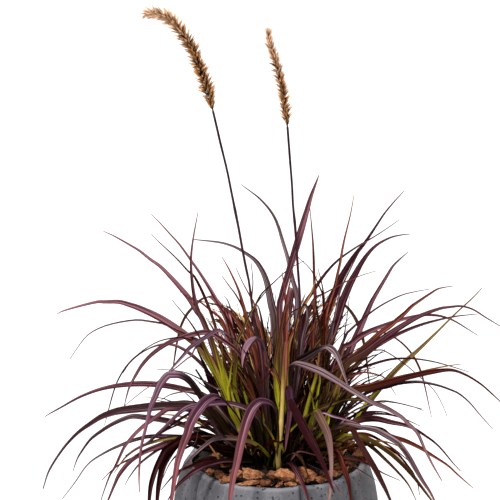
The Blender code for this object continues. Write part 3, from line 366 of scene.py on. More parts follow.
# Slimmer leaves of the clump: width in pixels, finish, distances toward the viewer in mm as above,
# share of green base, and the traced pixels from within the clump to the tip
SLIM_LEAVES = (
    (2.5, "purple", (20, 60), 0.2, ((205, 352), (190, 337), (175, 330), (164, 324), (153, 322), (137, 320),
     (118, 322.5), (102, 327), (89, 334), (80, 344), (70, 359))),
    (2, "purple", (30, 70), 0.2, ((205, 350), (190, 340), (180, 337.5), (167, 339), (156, 342.5),
     (143.5, 350), (132, 360), (123, 373))),
    (5, "purple", (60, 170), 0.1, ((205, 425), (190, 411), (170, 409.5), (165, 411), (155, 418),
     (145, 425), (135, 434), (125, 446), (120, 456), (115, 467), (110, 475), (105, 488), (100, 503))),
    (3.5, "red", (40, 110), 0.2, ((205, 445), (180, 443), (150, 450), (140, 455), (122, 463), (110, 472),
     (102, 480))),
    (4, "grey", (60, 130), 0.1, ((205, 450), (185, 443), (165, 447), (155, 452), (140, 463.5), (130, 476),
     (125, 485))),
    (9, "red", (90, 230), 0.1, ((205, 445), (192, 438), (181, 440), (174, 447), (168, 456), (163, 466),
     (160, 478), (158, 490), (157, 503), (156, 520), (156, 532))),
    (5, "grey", (110, 150), 0.0, ((222, 436), (214, 424), (210, 419), (203, 424), (198, 430), (196, 440),
     (192, 448))),
    (2, "grey", (30, 20), 0.0, ((230, 395), (216, 388), (204, 381), (187, 373), (170, 370), (157, 369.5))),
    (3, "grey", (40, 60), 0.0, ((225, 415), (212, 400), (202, 394), (191, 391), (172, 394), (161, 400))),
    (3, "red", (44, 70), 0.0, ((225, 425), (212, 413), (200, 409), (187, 406), (172, 403), (155, 400))),
    (2.5, "purple", (46, 60), 0.0, ((222, 425), (208, 413), (198, 405), (191, 398), (180, 388))),
    (2, "purple", (24, 90), 0.0, ((205, 352), (190, 357), (183, 362), (172, 371), (160, 380), (147, 388),
     (134, 398), (123, 407))),
    (2, "purple", (48, 80), 0.0, ((215, 412), (200, 404), (186, 401), (172, 401.5), (161, 398), (144, 398))),
    (4, "purple", (64, 120), 0.0, ((215, 412), (200, 410), (187, 415), (164.5, 430), (153, 439),
     (142, 447))),
    (4.5, "olive", (60, 120), 0.0, ((222, 448), (205, 440), (187, 437), (170, 438), (153, 442), (138, 448),
     (125, 458), (114, 473))),
    (5, "red", (92, 170), 0.0, ((222, 464), (213, 459), (204, 460), (191, 466), (176, 473), (161, 490))),
    (3, "red", (50, 90), 0.0, ((222, 432), (208, 423), (196, 420), (180, 424), (165, 431), (150, 442))),
    (3, "purple", (66, 130), 0.0, ((222, 452), (206, 444), (192, 445), (180, 452), (170, 463), (163, 478))),
    (3, "purple", (44, 100), 0.1, ((330, 436), (348, 424), (366, 415), (384, 414), (402, 418), (420, 426))),
    (4, "red", (60, 150), 0.1, ((330, 448), (350, 436), (366, 434), (382, 441), (398, 452), (410, 462))),
    (5, "olive", (84, 180), 0.3, ((330, 452), (345, 440), (358, 438), (372, 447), (384, 458), (396, 470),
     (408, 484), (416, 500))),
    (2.5, "olive", (80, 110), 0.3, ((262, 448), (240, 439), (228, 438), (215, 436), (202, 436), (190, 439))),
    (3, "red", (70, 60), 0.1, ((250, 446), (230, 433), (220, 427), (210, 420), (200, 416))),
    (3, "straw", (90, 100), 0.0, ((225, 466), (219, 460), (216, 455), (210, 446), (205, 441))),
    (3.2, "olive", (72, 70), 0.8, ((279, 455), (277, 450), (274, 440), (270, 432), (264, 423), (258, 418))),
    (5, "purple", (30, 62), 0.0, ((264, 400), (263, 370), (260, 346), (256, 340), (252, 344), (249.5, 352),
     (246.5, 361), (243.5, 368))),
    (9, "purple", (-10, -40), 0.0, ((235, 420), (217, 398), (210, 380), (203, 362), (197, 350))),
    (3.2, "olive", (34, 30), 0.72, ((234, 420), (227, 398), (220, 382), (213, 368), (206, 352), (201, 340),
     (190, 322), (172, 300))),
    (3.2, "olive", (42, 50), 0.72, ((236, 420), (229, 399), (224, 385), (221, 370), (218, 360), (214, 345),
     (211, 336), (203, 318), (190, 300))),
    (2, "olive", (46, 46), 0.9, ((233, 410), (226, 385), (223, 370), (222, 358), (222, 345), (222, 330))),
    (2.8, "olive", (48, 50), 0.9, ((233, 410), (228, 390), (230, 380), (231, 368), (233, 358), (236, 345))),
    (5, "purple", (-4, -60), 0.3, ((228, 395), (218, 365), (207, 330), (200, 315), (195, 300), (192, 280),
     (191, 260), (193, 240), (198, 212))),
    (3.5, "red", (0, -90), 0.3, ((235, 400), (222, 350), (210, 310), (196, 279), (188, 271), (180, 262),
     (172, 254), (158, 241), (151, 234))),
    (4.5, "red", (6, -30), 0.25, ((255, 400), (244, 365), (242, 355), (235, 335), (228, 320), (220, 307),
     (210, 292))),
    (4, "red", (-6, -70), 0.4, ((240, 380), (230, 340), (222, 320), (210, 310), (200, 302), (180, 292))),
    (6, "red", (-6, -60), 0.3, ((262, 400), (252, 350), (247, 320), (241, 297), (238, 288), (233, 277),
     (228, 267), (222, 257))),
    (4, "purple", (-10, -60), 0.3, ((262, 380), (252, 330), (243, 308), (236, 295), (230, 287), (222, 276))),
    (3, "red", (-20, -50), 0.2, ((266, 360), (260, 325), (254, 303), (250, 296), (242, 281), (236, 268))),
    (4, "straw", (-2, -30), 0.5, ((266, 380), (258, 350), (253, 335), (248, 322), (243, 310))),
    (4, "olive", (4, 20), 0.5, ((236, 395), (236, 360), (238, 340), (242, 332), (247, 320), (252, 310),
     (259, 300), (272, 284))),
    (3, "olive", (-14, -30), 0.4, ((264, 400), (261, 370), (260, 350), (258, 335), (255, 320), (252, 300),
     (253, 282), (251, 262))),
    (4.5, "red", (-10, -70), 0.2, ((308, 400), (312, 360), (313, 330), (315, 305), (314, 275), (313, 245),
     (310, 208))),
    (5, "red", (-30, -110), 0.2, ((312, 400), (320, 350), (326, 312), (334, 288), (337, 275), (340, 262),
     (342, 250), (345, 236), (350.5, 214), (354, 195))),
    (3, "grey", (-10, -70), 0.2, ((318, 400), (330, 340), (336, 310), (340, 292), (345, 280), (350, 270),
     (355, 260), (361, 249))),
    (4, "purple", (-20, -120), 0.2, ((290, 400), (292, 350), (303, 308), (314, 290), (324, 275),
     (338, 260), (358, 246), (372, 238), (386, 229), (399, 220))),
    (2.5, "red", (10, -30), 0.3, ((318, 400), (324, 340), (323, 300), (320, 288), (311, 270), (298, 257))),
    (2.5, "purple", (-20, -60), 0.2, ((266, 400), (252, 345), (253, 315), (260, 296), (272, 284),
     (285, 272), (292, 267), (304, 261))),
    (2.5, "red", (10, -40), 0.1, ((300, 380), (304, 330), (310, 306), (316, 297), (325, 293), (343, 283),
     (355, 278), (364, 274.5), (376, 271))),
    (3.5, "straw", (6, -10), 0.4, ((286, 400), (288, 355), (290, 340), (295, 328), (300, 315), (305, 305),
     (312, 290), (318, 272))),
    (4.5, "olive", (0, -30), 0.5, ((326, 400), (324, 365), (322, 345), (321, 335), (318, 318), (316, 305),
     (316, 290), (314, 276))),
    (4.5, "red", (-30, -80), 0.2, ((318, 400), (320, 370), (322, 340), (323, 315), (324, 300), (322, 285),
     (318, 268))),
    (2.5, "purple", (20, 40), 0.1, ((300, 380), (301, 345), (302, 330), (303, 318), (310, 305), (314, 312),
     (315, 320), (310, 333), (305, 340))),
    (4, "grey", (20, 50), 0.0, ((298, 380), (303, 340), (308, 318), (306, 305), (300, 308), (292, 312),
     (288, 320), (284, 332))),
    (3.5, "straw", (4, -30), 0.3, ((322, 400), (323, 360), (326, 335), (330, 315), (335, 298))),
    (3, "purple", (20, -60), 0.2, ((325, 400), (332, 370), (345, 337), (350, 330), (366, 316), (380, 306),
     (395, 298), (405, 294), (416, 291.5), (430, 289))),
    (5, "purple", (30, 10), 0.4, ((330, 410), (338, 390), (350, 372), (360, 361), (370, 351), (380, 344),
     (400, 333), (420, 325), (440, 319.5), (458, 316), (478, 314))),
    (3, "purple", (30, 60), 0.2, ((330, 400), (338, 384), (350, 372), (370, 365), (390, 359.5),
     (410, 358.5), (430, 361), (448, 365.5), (469, 372))),
    (4, "straw", (38, 90), 0.3, ((335, 410), (350, 396), (370, 388), (390, 380), (410, 375), (430, 369.5),
     (450, 365.5), (462, 364))),
    (3.5, "grey", (44, 120), 0.2, ((335, 420), (355, 400), (374, 390), (388, 387), (397, 384),
     (407, 382.5), (419, 382), (429, 383.4), (440, 386), (450, 389.6), (459, 393.7), (470, 403),
     (481, 416), (493, 429))),
    (1.5, "grey", (20, 60), 0.1, ((335, 385), (352, 358), (378, 350), (390, 354), (406, 365), (422, 379),
     (433, 389), (441, 401.5), (447, 416))),
    (2, "grey", (60, 40), 0.1, ((330, 435), (352, 412), (379, 402), (390, 402), (402.5, 404), (414, 407),
     (424, 411))),
    (2, "purple", (-30, -60), 0.2, ((326, 400), (336, 370), (341, 355), (345, 330), (347, 317),
     (349.5, 296))),
    (2.5, "purple", (40, 70), 0.2, ((335, 420), (350, 396), (361, 385), (367, 381), (375, 378), (384, 372),
     (392, 368))),
    (2.5, "red", (30, 50), 0.2, ((330, 410), (345, 382), (360, 373), (370, 373), (378, 375), (385, 378.5),
     (396, 395))),
    (3.5, "purple", (50, 60), 0.1, ((330, 440), (340, 428), (350, 418), (360, 411), (370, 406), (377, 404),
     (386, 402))),
    (3.2, "olive", (24, 0), 0.8, ((338, 440), (355, 420), (360, 412), (368, 400), (378, 392), (385, 383),
     (397, 370), (410, 357))),
    (2.4, "olive", (52, 60), 0.9, ((324, 430), (330, 412), (334, 400), (338, 390), (343, 378))),
    (2.4, "olive", (46, 50), 0.9, ((322, 440), (328, 425), (331, 410), (333, 396))),
    (2, "olive", (60, 50), 0.8, ((314, 420), (314, 408), (311, 393), (307, 378), (303, 366))),
    (3, "straw", (16, 20), 0.9, ((312, 420), (318, 390), (320, 380), (319, 372), (316, 360))),
    (3, "straw", (64, 70), 0.5, ((330, 462), (338, 450), (343, 440), (348, 432), (352, 424))),
    (3, "straw", (76, 80), 0.5, ((336, 464), (343, 453), (350, 445), (357, 438))),
    (3, "straw", (90, 150), 0.1, ((345, 448), (365, 442), (380, 441), (390, 443), (400, 447), (405, 449))),
    (3, "red", (70, 150), 0.1, ((350, 447), (375, 445), (395, 452), (411, 470), (415, 477), (418, 485),
     (419.5, 495))),
    (3, "red", (90, 170), 0.1, ((325, 466), (340, 458), (350, 459), (362, 461), (375, 468), (383, 473),
     (392, 477), (400, 480.5))),
    (3, "purple", (96, 160), 0.1, ((325, 469), (336, 461), (345, 462), (355, 467), (365, 473),
     (378, 481.5))),
    (2.5, "straw", (110, 180), 0.0, ((335, 468), (348, 462), (357, 467), (360, 475), (362, 487))),
    (2, "purple", (90, 130), 0.0, ((288, 462), (297, 452), (305, 452), (315, 455), (325, 458), (333, 464))),
    (3.2, "olive", (60, 70), 0.9, ((284, 452), (281, 443), (290, 431), (296, 425), (303, 418), (312, 413),
     (322, 409))),
    (6, "red", (64, 24), 0.62, ((280.5, 415), (277.5, 398), (276, 385), (275.5, 370), (276.5, 355),
     (279, 340), (282, 322), (286, 302), (289, 286), (293, 270))),
    (6.5, "red", (62, 20), 0.4, ((281, 410), (282.5, 392), (283.5, 378), (284, 362), (285, 345),
     (286, 328), (286, 310), (284.5, 290), (282, 272))),
    (2.5, "red", (60, 70), 0.0, ((282, 400), (277, 375), (273, 368), (268, 375), (262, 382), (256, 386))),
)

# Slim leaves that fold over: width in pixels, how light, distances and traced pixels as above
FOLDED_LEAVES = (
    (9, 1.5, (40, 75), ((268, 390), (268, 365), (263, 343), (258, 338), (253, 338), (248, 341.5),
     (244.5, 348), (242.5, 356), (242, 363), (242.5, 368))),
    (9, 0.15, (70, 114), ((290, 428), (288, 405), (286, 390), (288, 387.5), (290, 392), (291, 402),
     (290.5, 412), (289, 424), (287, 438), (285, 452))),
    (3, 0.9, (80, 90), ((310, 436), (316, 415), (325, 413), (333, 416), (345, 419), (355, 422), (363, 426))),
    (2.5, 0.9, (110, 200), ((320, 470), (326, 474), (333, 482), (342, 495))),
)
# How dark the painted shade is on a folded leaf, up to where it folds
FOLD_PAINTED_SHADE = 0.9

# Seeded leaves fill the clump. How often each finish comes, in its dark and in its lighter part
DARK_SHARES = {"purple": 20, "red": 50, "olive": 20, "grey": 2, "straw": 8}
MIXED_SHARES = {"purple": 34, "red": 26, "olive": 28, "grey": 4, "straw": 8}

# Stands of seeded leaves: how many, their headings in degrees from +X, how far their feet stray from
# that side, how far out the feet stand, then ranges of length in metres, lean and droop in degrees
# and width in metres, and the shares of the finishes
STANDS = (
    (125, (0, 360), 180, (0.05, 0.9), (0.12, 0.30), (4, 50), (0, 40), (0.0024, 0.0056), DARK_SHARES),
    (100, (0, 360), 60, (0.05, 0.9), (0.14, 0.36), (2, 26), (0, 45), (0.0018, 0.0044), MIXED_SHARES),
    (100, (0, 360), 60, (0.3, 1.0), (0.16, 0.36), (12, 40), (30, 95), (0.0024, 0.0054), MIXED_SHARES),
    (110, (0, 360), 60, (0.5, 1.0), (0.06, 0.20), (20, 55), (10, 70), (0.004, 0.0085), DARK_SHARES),
    (60, (20, 160), 60, (0.3, 1.0), (0.28, 0.46), (14, 40), (60, 125), (0.005, 0.0095), MIXED_SHARES),
    (40, (200, 340), 90, (0.2, 0.9), (0.10, 0.26), (4, 30), (10, 50), (0.0045, 0.0080), DARK_SHARES),
)
STAND_TRIES = 12
FAN_STEPS = 7
FILLER_ROLL = 0.5

# How light seeded leaves are: a share of them is dull, and straw stays duller than the rest
DULL_SHARE = 0.58
DULL_TONES = (-0.45, 0.15)
BRIGHT_TONES = (0.6, 1.6)
STRAW_TONE = 0.35

# Heights above the crown between which the painted shade on seeded and inner leaves fades out, and
# how many seeded ones are spared part of that painted shade, and how much
PAINTED_SHADE_HEIGHTS = (0.045, 0.175)
INNER_SHADE_HEIGHTS = (0.020, 0.140)
LIT_SHARE = 0.34
LIT_STRENGTH = 0.75

# The dense part of the clump in the picture, inside which seeded leaves stay. They also stay above
# the chips, within the clump's depth and, above a height, behind the front leaves
THICKET = ((186, 500), (178, 470), (152, 452), (130, 432), (142, 412), (178, 402), (190, 385), (197, 362),
           (197, 340), (202, 318), (209, 302), (222, 294), (242, 302), (262, 294), (280, 288), (322, 288),
           (342, 288), (352, 304), (353, 345), (374, 345), (392, 342), (386, 365), (398, 382), (402, 400),
           (405, 418), (398, 440), (380, 460), (374, 500))
FRONT_HEIGHT = CROWN_TOP + 0.07
FRONT_DEPTH = 0.012
LOWEST_LEAF = 0.10
FRONT_MARGIN = 0.02
BACK_MARGIN = 0.01

# Stems: name, share of green and tone, foot, distances toward the viewer, traced pixels
CULMS = (
    ("culm_centre", (0.95, 0.0), (3.5, 75), (76, 66),
     ((278, 455), (279.5, 440), (281, 425), (282, 410), (282.5, 400), (283, 378), (284.5, 352),
      (285.5, 342))),
    ("culm_left", (0.95, 0.8), (-44, 28), (34, 30),
     ((238, 425), (229, 398), (221, 380), (213, 362), (206, 348), (202, 338))),
    ("culm_left_inner", (0.95, 0.8), (-30, 36), (40, 44),
     ((242, 420), (234, 400), (227, 380), (221, 362), (215, 345), (211, 335))),
    ("culm_right", (0.95, 0.8), (32, 10), (12, 12),
     ((302, 430), (308, 405), (313, 388), (317, 372), (319, 356), (320, 344))),
    ("culm_right_outer", (0.95, 0.8), (50, 26), (40, 50),
     ((322, 430), (328, 412), (334, 396), (339, 382), (343, 372))),
)
STALKS = (
    ("flower_stalk_left", (1.0, 0.5), (-14, 6), (5, 10),
     ((268, 420), (260, 360), (252, 305), (249, 282), (246, 268), (242, 247), (239, 230), (236, 215),
      (233, 200), (230, 185), (227, 170), (220.4, 143), (217.4, 130), (213, 111))),
    ("flower_stalk_right", (1.0, 0.5), (20, -8), (-8, 0),
     ((290, 420), (298, 350), (300, 305), (298, 270), (296, 240), (295, 225), (293, 205), (292, 185),
      (290, 160), (287.5, 127))),
)
CULM_RADII = (0.0048, 0.0012)
STALK_RADII = (0.0023, 0.0020)
CULM_BULGE = 0.12
STALK_BULGE = 0.3
STEM_JOINTS = 3
STEM_RINGS = 40

# Short sheathed shoots on the crown, and the clear place before the middle stem
SHOOTS = 130
SHOOT_TURN = 137.5
SHOOT_REACH = CROWN_RADIUS - 0.010
SHOOT_SINK = 0.004
SHOOT_HEIGHTS = (0.05, 0.15)
SHOOT_RADII = (0.0020, 0.0038)
CLEAR_MIDDLE = 0.003
CLEAR_WIDTH = 0.016
CLEAR_FRONT = -0.050

# Spikes: name, distance toward the viewer, length of a spikelet in metres, how far it leans out in
# degrees, how much smaller it is at the tip, traced pixels
SPIKES = (
    ("flower_spike_left", 10, 0.0202, 54, 0.16,
     ((212.8, 110), (209.6, 98), (204.6, 81), (199, 65), (193, 51), (188, 41.5), (181, 32), (175, 24),
      (168, 18), (161, 15), (152, 13.3), (140, 14))),
    ("flower_spike_right", 0, 0.016, 46, 0.2,
     ((287.3, 126), (286, 115), (283.7, 96.5), (280.6, 80), (277.5, 67), (274.5, 57), (270.7, 46),
      (268.7, 36), (268, 27))),
)
SPIKE_POINTS = 90
SPIKE_END = 0.955
SPIKELET_STEP = 0.0026
SPIKELETS_AROUND = 6
SPIKELET_TURN = 47.0
SPIKELET_GIRTH = 0.066
SPIKELET_BODY = 0.85
BRISTLES = 2
BRISTLE_RADIUS = 0.011
RACHIS_RADII = (0.0013, 0.0005)

# Chips that show in the picture: pixel, distance toward the viewer in mm, length, breadth, thickness
# in mm, turn in degrees and which of the chip shapes
SHOWN_CHIPS = (
    ((254, 474.5), 118, 38, 17, 9, 4, 0), ((272.5, 475), 120, 20, 12, 9, 20, 1),
    ((286, 476), 124, 32, 22, 12, -14, 2), ((266, 483), 134, 22, 12, 8, 12, 3),
    ((249, 483.5), 136, 40, 9, 4, 4, 4), ((280, 485), 137, 18, 8, 5, 60, 1),
    ((291, 484.5), 136, 22, 9, 5, 14, 4), ((309, 475), 116, 32, 24, 12, 10, 0),
    ((330, 474), 108, 36, 13, 9, -8, 3), ((210, 472), 96, 18, 11, 6, -30, 1),
    ((219.5, 475), 104, 22, 16, 8, 52, 2), ((237, 474), 108, 28, 15, 9, -22, 3),
    ((226, 480), 122, 24, 12, 6, 30, 4), ((344, 470), 92, 22, 12, 8, 40, 1),
    ((355, 450), -10, 34, 16, 10, -38, 0), ((362, 456), 10, 28, 14, 9, -30, 2),
    ((350, 444), -26, 26, 12, 9, 24, 3), ((366, 462), 26, 26, 10, 8, -50, 4),
    ((300, 481), 130, 20, 12, 8, -40, 2), ((320, 480), 124, 22, 10, 7, -26, 1),
)
SHOWN_DETAIL = 0.20

# Further chips all round the crown: how many, how long, and smaller where the picture shows soil
CHIP_COUNT = 170
CHIP_LENGTHS = (0.012, 0.032)
STREWN_DETAIL = 0.09
SOIL_CHIP_SHARE = 0.45
OPEN_SOIL = ((188, 440), (215, 440), (215, 462), (336, 462), (336, 500), (188, 500))
CHIP_SHAPES = 5
CHIP_CUTS = 7

# Leaf colours: the ground, the bright streaks, which are partly the leaf's own streaks and partly
# painted sheen, the lower face and the dried tip
LEAF_FINISHES = {
    "purple": ((0.029, 0.0044, 0.0062), (0.173, 0.071, 0.089), (0.050, 0.006, 0.0066), (0.110, 0.018, 0.019)),
    "red": ((0.046, 0.0048, 0.0032), (0.225, 0.066, 0.040), (0.100, 0.0130, 0.0040), (0.160, 0.028, 0.016)),
    "olive": ((0.034, 0.012, 0.0035), (0.290, 0.190, 0.060), (0.050, 0.0150, 0.0035), (0.090, 0.020, 0.010)),
    "grey": ((0.040, 0.014, 0.0170), (0.230, 0.165, 0.175), (0.044, 0.0100, 0.0100), (0.150, 0.050, 0.058)),
    "violet": ((0.050, 0.014, 0.0270), (0.230, 0.135, 0.180), (0.042, 0.0070, 0.010), (0.230, 0.070, 0.072)),
    "dusty": ((0.050, 0.012, 0.0090), (0.250, 0.118, 0.092), (0.050, 0.0100, 0.0070), (0.400, 0.220, 0.200)),
    "straw": ((0.180, 0.056, 0.0120), (0.380, 0.200, 0.070), (0.160, 0.0480, 0.0110), (0.340, 0.170, 0.065)),
}
BASE_GREEN = (0.340, 0.310, 0.012)
BASE_OLIVE = (0.060, 0.034, 0.005)
# The margins' colour: partly their own red, partly painted shade between neighbouring blades
MARGIN_RED_AND_SHADE = (0.045, 0.007, 0.006)
# Painted shade in the clump's core and below a leaf's fold: its colour and how strong it is
PAINTED_SHADE_COLOUR = (0.0045, 0.0006, 0.0004)
PAINTED_SHADE_STRENGTH = 0.96
SATIN_TINT = (1.0, 0.72, 0.84, 1.0)


# Selecting, changing and finishing pieces
def bare():
    """Leave edit mode and select nothing."""
    if bpy.context.mode != "OBJECT":
        bpy.ops.object.mode_set(mode="OBJECT")
    bpy.ops.object.select_all(action="DESELECT")


def only(*things):
    """Select these objects and make the first one active."""
    bare()
    for thing in things:
        thing.select_set(True)
    bpy.context.view_layer.objects.active = things[0]


def pick(wanted):
    """In edit mode, select the vertices whose place is wanted and nothing else."""
    mesh = bmesh.from_edit_mesh(bpy.context.active_object.data)
    bpy.context.tool_settings.mesh_select_mode = (True, False, False)
    for vertex in mesh.verts:
        vertex.select_set(wanted(vertex.co))
    mesh.select_flush(True)
    mesh.select_flush(False)
    bmesh.update_edit_mesh(bpy.context.active_object.data)


def begun(name):
    """Name the piece that was just added, and enter edit mode."""
    piece = bpy.context.active_object
    piece.name = name
    bpy.ops.object.mode_set(mode="EDIT")
    return piece


def worked(piece, kind, **settings):
    """Give a piece a modifier and apply it."""
    only(piece)
    modifier = piece.modifiers.new(kind.title(), kind)
    for setting, value in settings.items():
        setattr(modifier, setting, value)
    bpy.ops.object.modifier_apply(modifier=modifier.name)
    return piece


def copy_of(pattern, name):
    """A copy of a modelled piece, with a mesh of its own."""
    copy = pattern.copy()
    copy.data = pattern.data.copy()
    copy.name = name
    bpy.context.scene.collection.objects.link(copy)
    return copy


def joined(name, copies):
    """Join copies in one piece."""
    only(*copies)
    bpy.ops.object.join()
    piece = bpy.context.active_object
    piece.name = name
    return piece


def places_of(mesh):
    """A mesh's vertices as an array."""
    flat = np.empty(len(mesh.vertices) * 3)
    mesh.vertices.foreach_get("co", flat)
    return flat.reshape(-1, 3)


def put_places(mesh, places):
    """Move a mesh's vertices to these places."""
    mesh.vertices.foreach_set("co", np.asarray(places, dtype=np.float32).ravel())
    mesh.update()


def mark(mesh, domain="POINT", **numbers):
    """Store numbers for each vertex or face, which a material can read."""
    count = len(mesh.vertices) if domain == "POINT" else len(mesh.polygons)
    for name, values in numbers.items():
        attribute = mesh.attributes.get(name) or mesh.attributes.new(name, "FLOAT", domain)
        values = np.broadcast_to(np.asarray(values, dtype=np.float32), count)
        attribute.data.foreach_set("value", values.copy())


def keep(piece, slot, material, *nodes):
    """Give a piece its material and its body, and hide the nodes that it stands for. The slot is not used."""
    piece.data.materials.clear()
    piece.data.materials.append(material)
    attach(piece, "root")
    if nodes:
        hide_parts(*nodes)
    return piece


def smooth_shaded(piece, degrees):
    """Shade a piece smooth, but for edges sharper than an angle."""
    only(piece)
    bpy.ops.object.shade_smooth_by_angle(angle=math.radians(degrees))
    return piece


def smooth_step(low, high, value):
    """How far a value has come from low to high, eased at both ends."""
    share = np.clip((value - low) / (high - low), 0.0, 1.0)
    return share * share * (3 - 2 * share)


# From pixels to routes
def traced(pixel, toward):
    """The point that the picture shows at a pixel, at a distance toward the viewer."""
    ray = (SIGHT + ACROSS * ((pixel[0] - PICTURE / 2) / FOCAL)
           + UPWARD * ((PICTURE / 2 - pixel[1]) / FOCAL))
    return EYE + ray * ((-toward - EYE.y) / ray.y)


def pictured(point):
    """The pixel at which the picture shows a point."""
    ray = point - EYE
    depth = ray.dot(SIGHT)
    return (PICTURE / 2 + FOCAL * ray.dot(ACROSS) / depth, PICTURE / 2 - FOCAL * ray.dot(UPWARD) / depth)


def inside(pixel, outline):
    """Whether a pixel lies inside an outline."""
    found = False
    for (x1, y1), (x2, y2) in zip(outline, outline[1:] + outline[:1]):
        if (y1 > pixel[1]) != (y2 > pixel[1]):
            if pixel[0] < x1 + (pixel[1] - y1) * (x2 - x1) / (y2 - y1):
                found = not found
    return found


def traced_route(pixels, toward):
    """Traced pixels as points, the distance toward the viewer changing evenly along them."""
    lengths = [0.0]
    for before, after in zip(pixels, pixels[1:]):
        lengths.append(lengths[-1] + math.dist(before, after))
    near, far = toward[0] / 1000, toward[1] / 1000
    return [traced(pixel, near + (far - near) * length / lengths[-1])
            for pixel, length in zip(pixels, lengths)]


def foot_points(foot):
    """Where a shoot leaves the crown, and the point just above that keeps it upright there."""
    start = Vector((foot[0] / 1000, -foot[1] / 1000, CROWN_TOP + FOOT_GAP))
    return [start, start + UP * FOOT_RISE]


def rooted(pixels, toward):
    """A traced leaf, led up from a foot on the crown that suits where it starts."""
    points = traced_route(pixels, toward)
    foot = Vector((points[0].x, points[0].y, 0)) * ROOT_SHARE
    if foot.length > ROOT_RADIUS:
        foot *= ROOT_RADIUS / foot.length
    return foot_points((foot.x * 1000, -foot.y * 1000)) + points


def headed(degrees):
    """A level direction, in degrees from +X."""
    return Vector((math.cos(math.radians(degrees)), math.sin(math.radians(degrees)), 0))


def arching_points(feet, heading, reach, height, tip_height):
    """Points of a leaf that springs up from the crown, arches over and hangs down."""
    start = feet[0]
    out = headed(heading)
    points = feet + [start + out * reach * distance + UP * height * rise for distance, rise in ARCH]
    points.append(start + out * reach * 0.88 + UP * (0.55 * height + 0.45 * tip_height))
    points.append(start + out * reach + UP * tip_height)
    return points


def fanned_points(feet, heading, length, lean, droop):
    """Points of a leaf that leaves the crown at a lean from upright and bows over by its droop."""
    out = headed(heading)
    points = list(feet)
    for step in range(FAN_STEPS):
        angle = math.radians(lean + droop * ((step + 0.5) / FAN_STEPS) ** 1.6)
        points.append(points[-1] + (out * math.sin(angle) + UP * math.cos(angle)) * length / FAN_STEPS)
    return points


def smooth_route(points, count, lead=None):
    """A smooth line through the points, with more of its own points where it bends."""
    lead = lead or points[0] * 2 - points[1]
    ends = [lead] + points + [points[-1] * 2 - points[-2]]
    fine = []
    for a, b, c, d in zip(ends, ends[1:], ends[2:], ends[3:]):
        for step in range(BEND_STEPS):
            t = step / BEND_STEPS
            fine.append(0.5 * (2 * b + (c - a) * t + (2 * a - 5 * b + 4 * c - d) * t ** 2
                               + (3 * b - a - 3 * c + d) * t ** 3))
    fine.append(points[-1])
    weights = [0.0]
    for index in range(1, len(fine)):
        piece = fine[index] - fine[index - 1]
        turn = piece.angle(fine[index + 1] - fine[index], 0.0) if index + 1 < len(fine) else 0.0
        weights.append(weights[-1] + piece.length + BEND_WEIGHT * turn)
    route = []
    index = 0
    for number in range(count):
        goal = weights[-1] * number / (count - 1)
        while index < len(fine) - 2 and weights[index + 1] < goal:
            index += 1
        span = weights[index + 1] - weights[index]
        share = (goal - weights[index]) / span if span > 0 else 0.0
        route.append(fine[index].lerp(fine[index + 1], min(share, 1.0)))
    return route


def shoot_route(points, count):
    """The route of a shoot: straight up from its foot, then smooth to its tip."""
    return [points[0]] + smooth_route(points[1:], count - 1, points[0])


def tangents(route):
    """The direction of a route at each of its points."""
    last = len(route) - 1
    return [(route[min(number + 1, last)] - route[max(number - 1, 0)]).normalized()
            for number in range(last + 1)]


def square_to(along, facing):
    """The part of a facing that is square to a direction."""
    return (facing - along * facing.dot(along)).normalized()


def facings(directions, facing):
    """Which way a blade's upper face looks at each point: as asked half way along, and from there
    turned as little as the route allows."""
    middle = len(directions) // 2
    looks = {middle: square_to(directions[middle], facing)}
    for number in range(middle + 1, len(directions)):
        looks[number] = square_to(directions[number], looks[number - 1])
    for number in reversed(range(middle)):
        looks[number] = square_to(directions[number], looks[number + 1])
    return [looks[number] for number in range(len(directions))]


def outward_facing(points, roll):
    """Up and away from the clump, rolled toward the viewer."""
    outward = points[-1] - points[0]
    outward.z = 0.0
    return (outward.normalized() + UP).normalized() - SIGHT * roll


def frames_of(route, facing):
    """A route's points, and at each the directions toward the side and the upper face."""
    directions = tangents(route)
    ups = np.array(facings(directions, facing))
    return np.array(route), np.cross(np.array(directions), ups), ups


def laid(piece, frames, row, across, above):
    """Put the vertices of a piece at distances across and above the points of a route."""
    centres, sides, ups = frames
    places = centres[row] + sides[row] * across[:, None] + ups[row] * above[:, None]
    put_places(piece.data, places)
    return places


# Blades and stems
def model_blade(name, rows, section):
    """One straight blade, 1 wide and 1 long, with a grooved midrib and lifted margins."""
    bare()
    columns = 2 * (len(section) - 1)
    bpy.ops.mesh.primitive_grid_add(x_subdivisions=columns, y_subdivisions=rows - 1, size=1)
    blade = begun(name)
    for number, (reach, height) in enumerate(section):
        for side in (-1, 1) if number else (1,):
            column = side * number / columns
            pick(lambda place: abs(place.x - column) < 0.2 / columns and place.z == 0.0)
            bpy.ops.transform.translate(value=(side * reach - column, 0, height))
    bare()
    return blade


def model_tube(name, sides, rings):
    """One straight stem, 1 in radius and 1 tall, drawn up ring by ring from a disc."""
    bare()
    bpy.ops.mesh.primitive_circle_add(vertices=sides, radius=1, fill_type="TRIFAN")
    tube = begun(name)
    pick(lambda place: place.xy.length > 0.5)
    for ring in range(rings):
        bpy.ops.mesh.extrude_edges_move(TRANSFORM_OT_translate={"value": (0, 0, 1 / rings)})
    bpy.ops.mesh.edge_face_add()
    bpy.ops.mesh.poke()
    bpy.ops.mesh.select_all(action="SELECT")
    bpy.ops.mesh.normals_make_consistent(inside=False)
    bare()
    return tube


def eased(steps, outline):
    """An outline's widths at even steps, with its corners eased."""
    shares, parts = zip(*outline)
    wide = np.interp(steps, shares, parts)
    for _ in range(3):
        wide[1:-1] = (wide[:-2] + 2 * wide[1:-1] + wide[2:]) / 4
    return wide


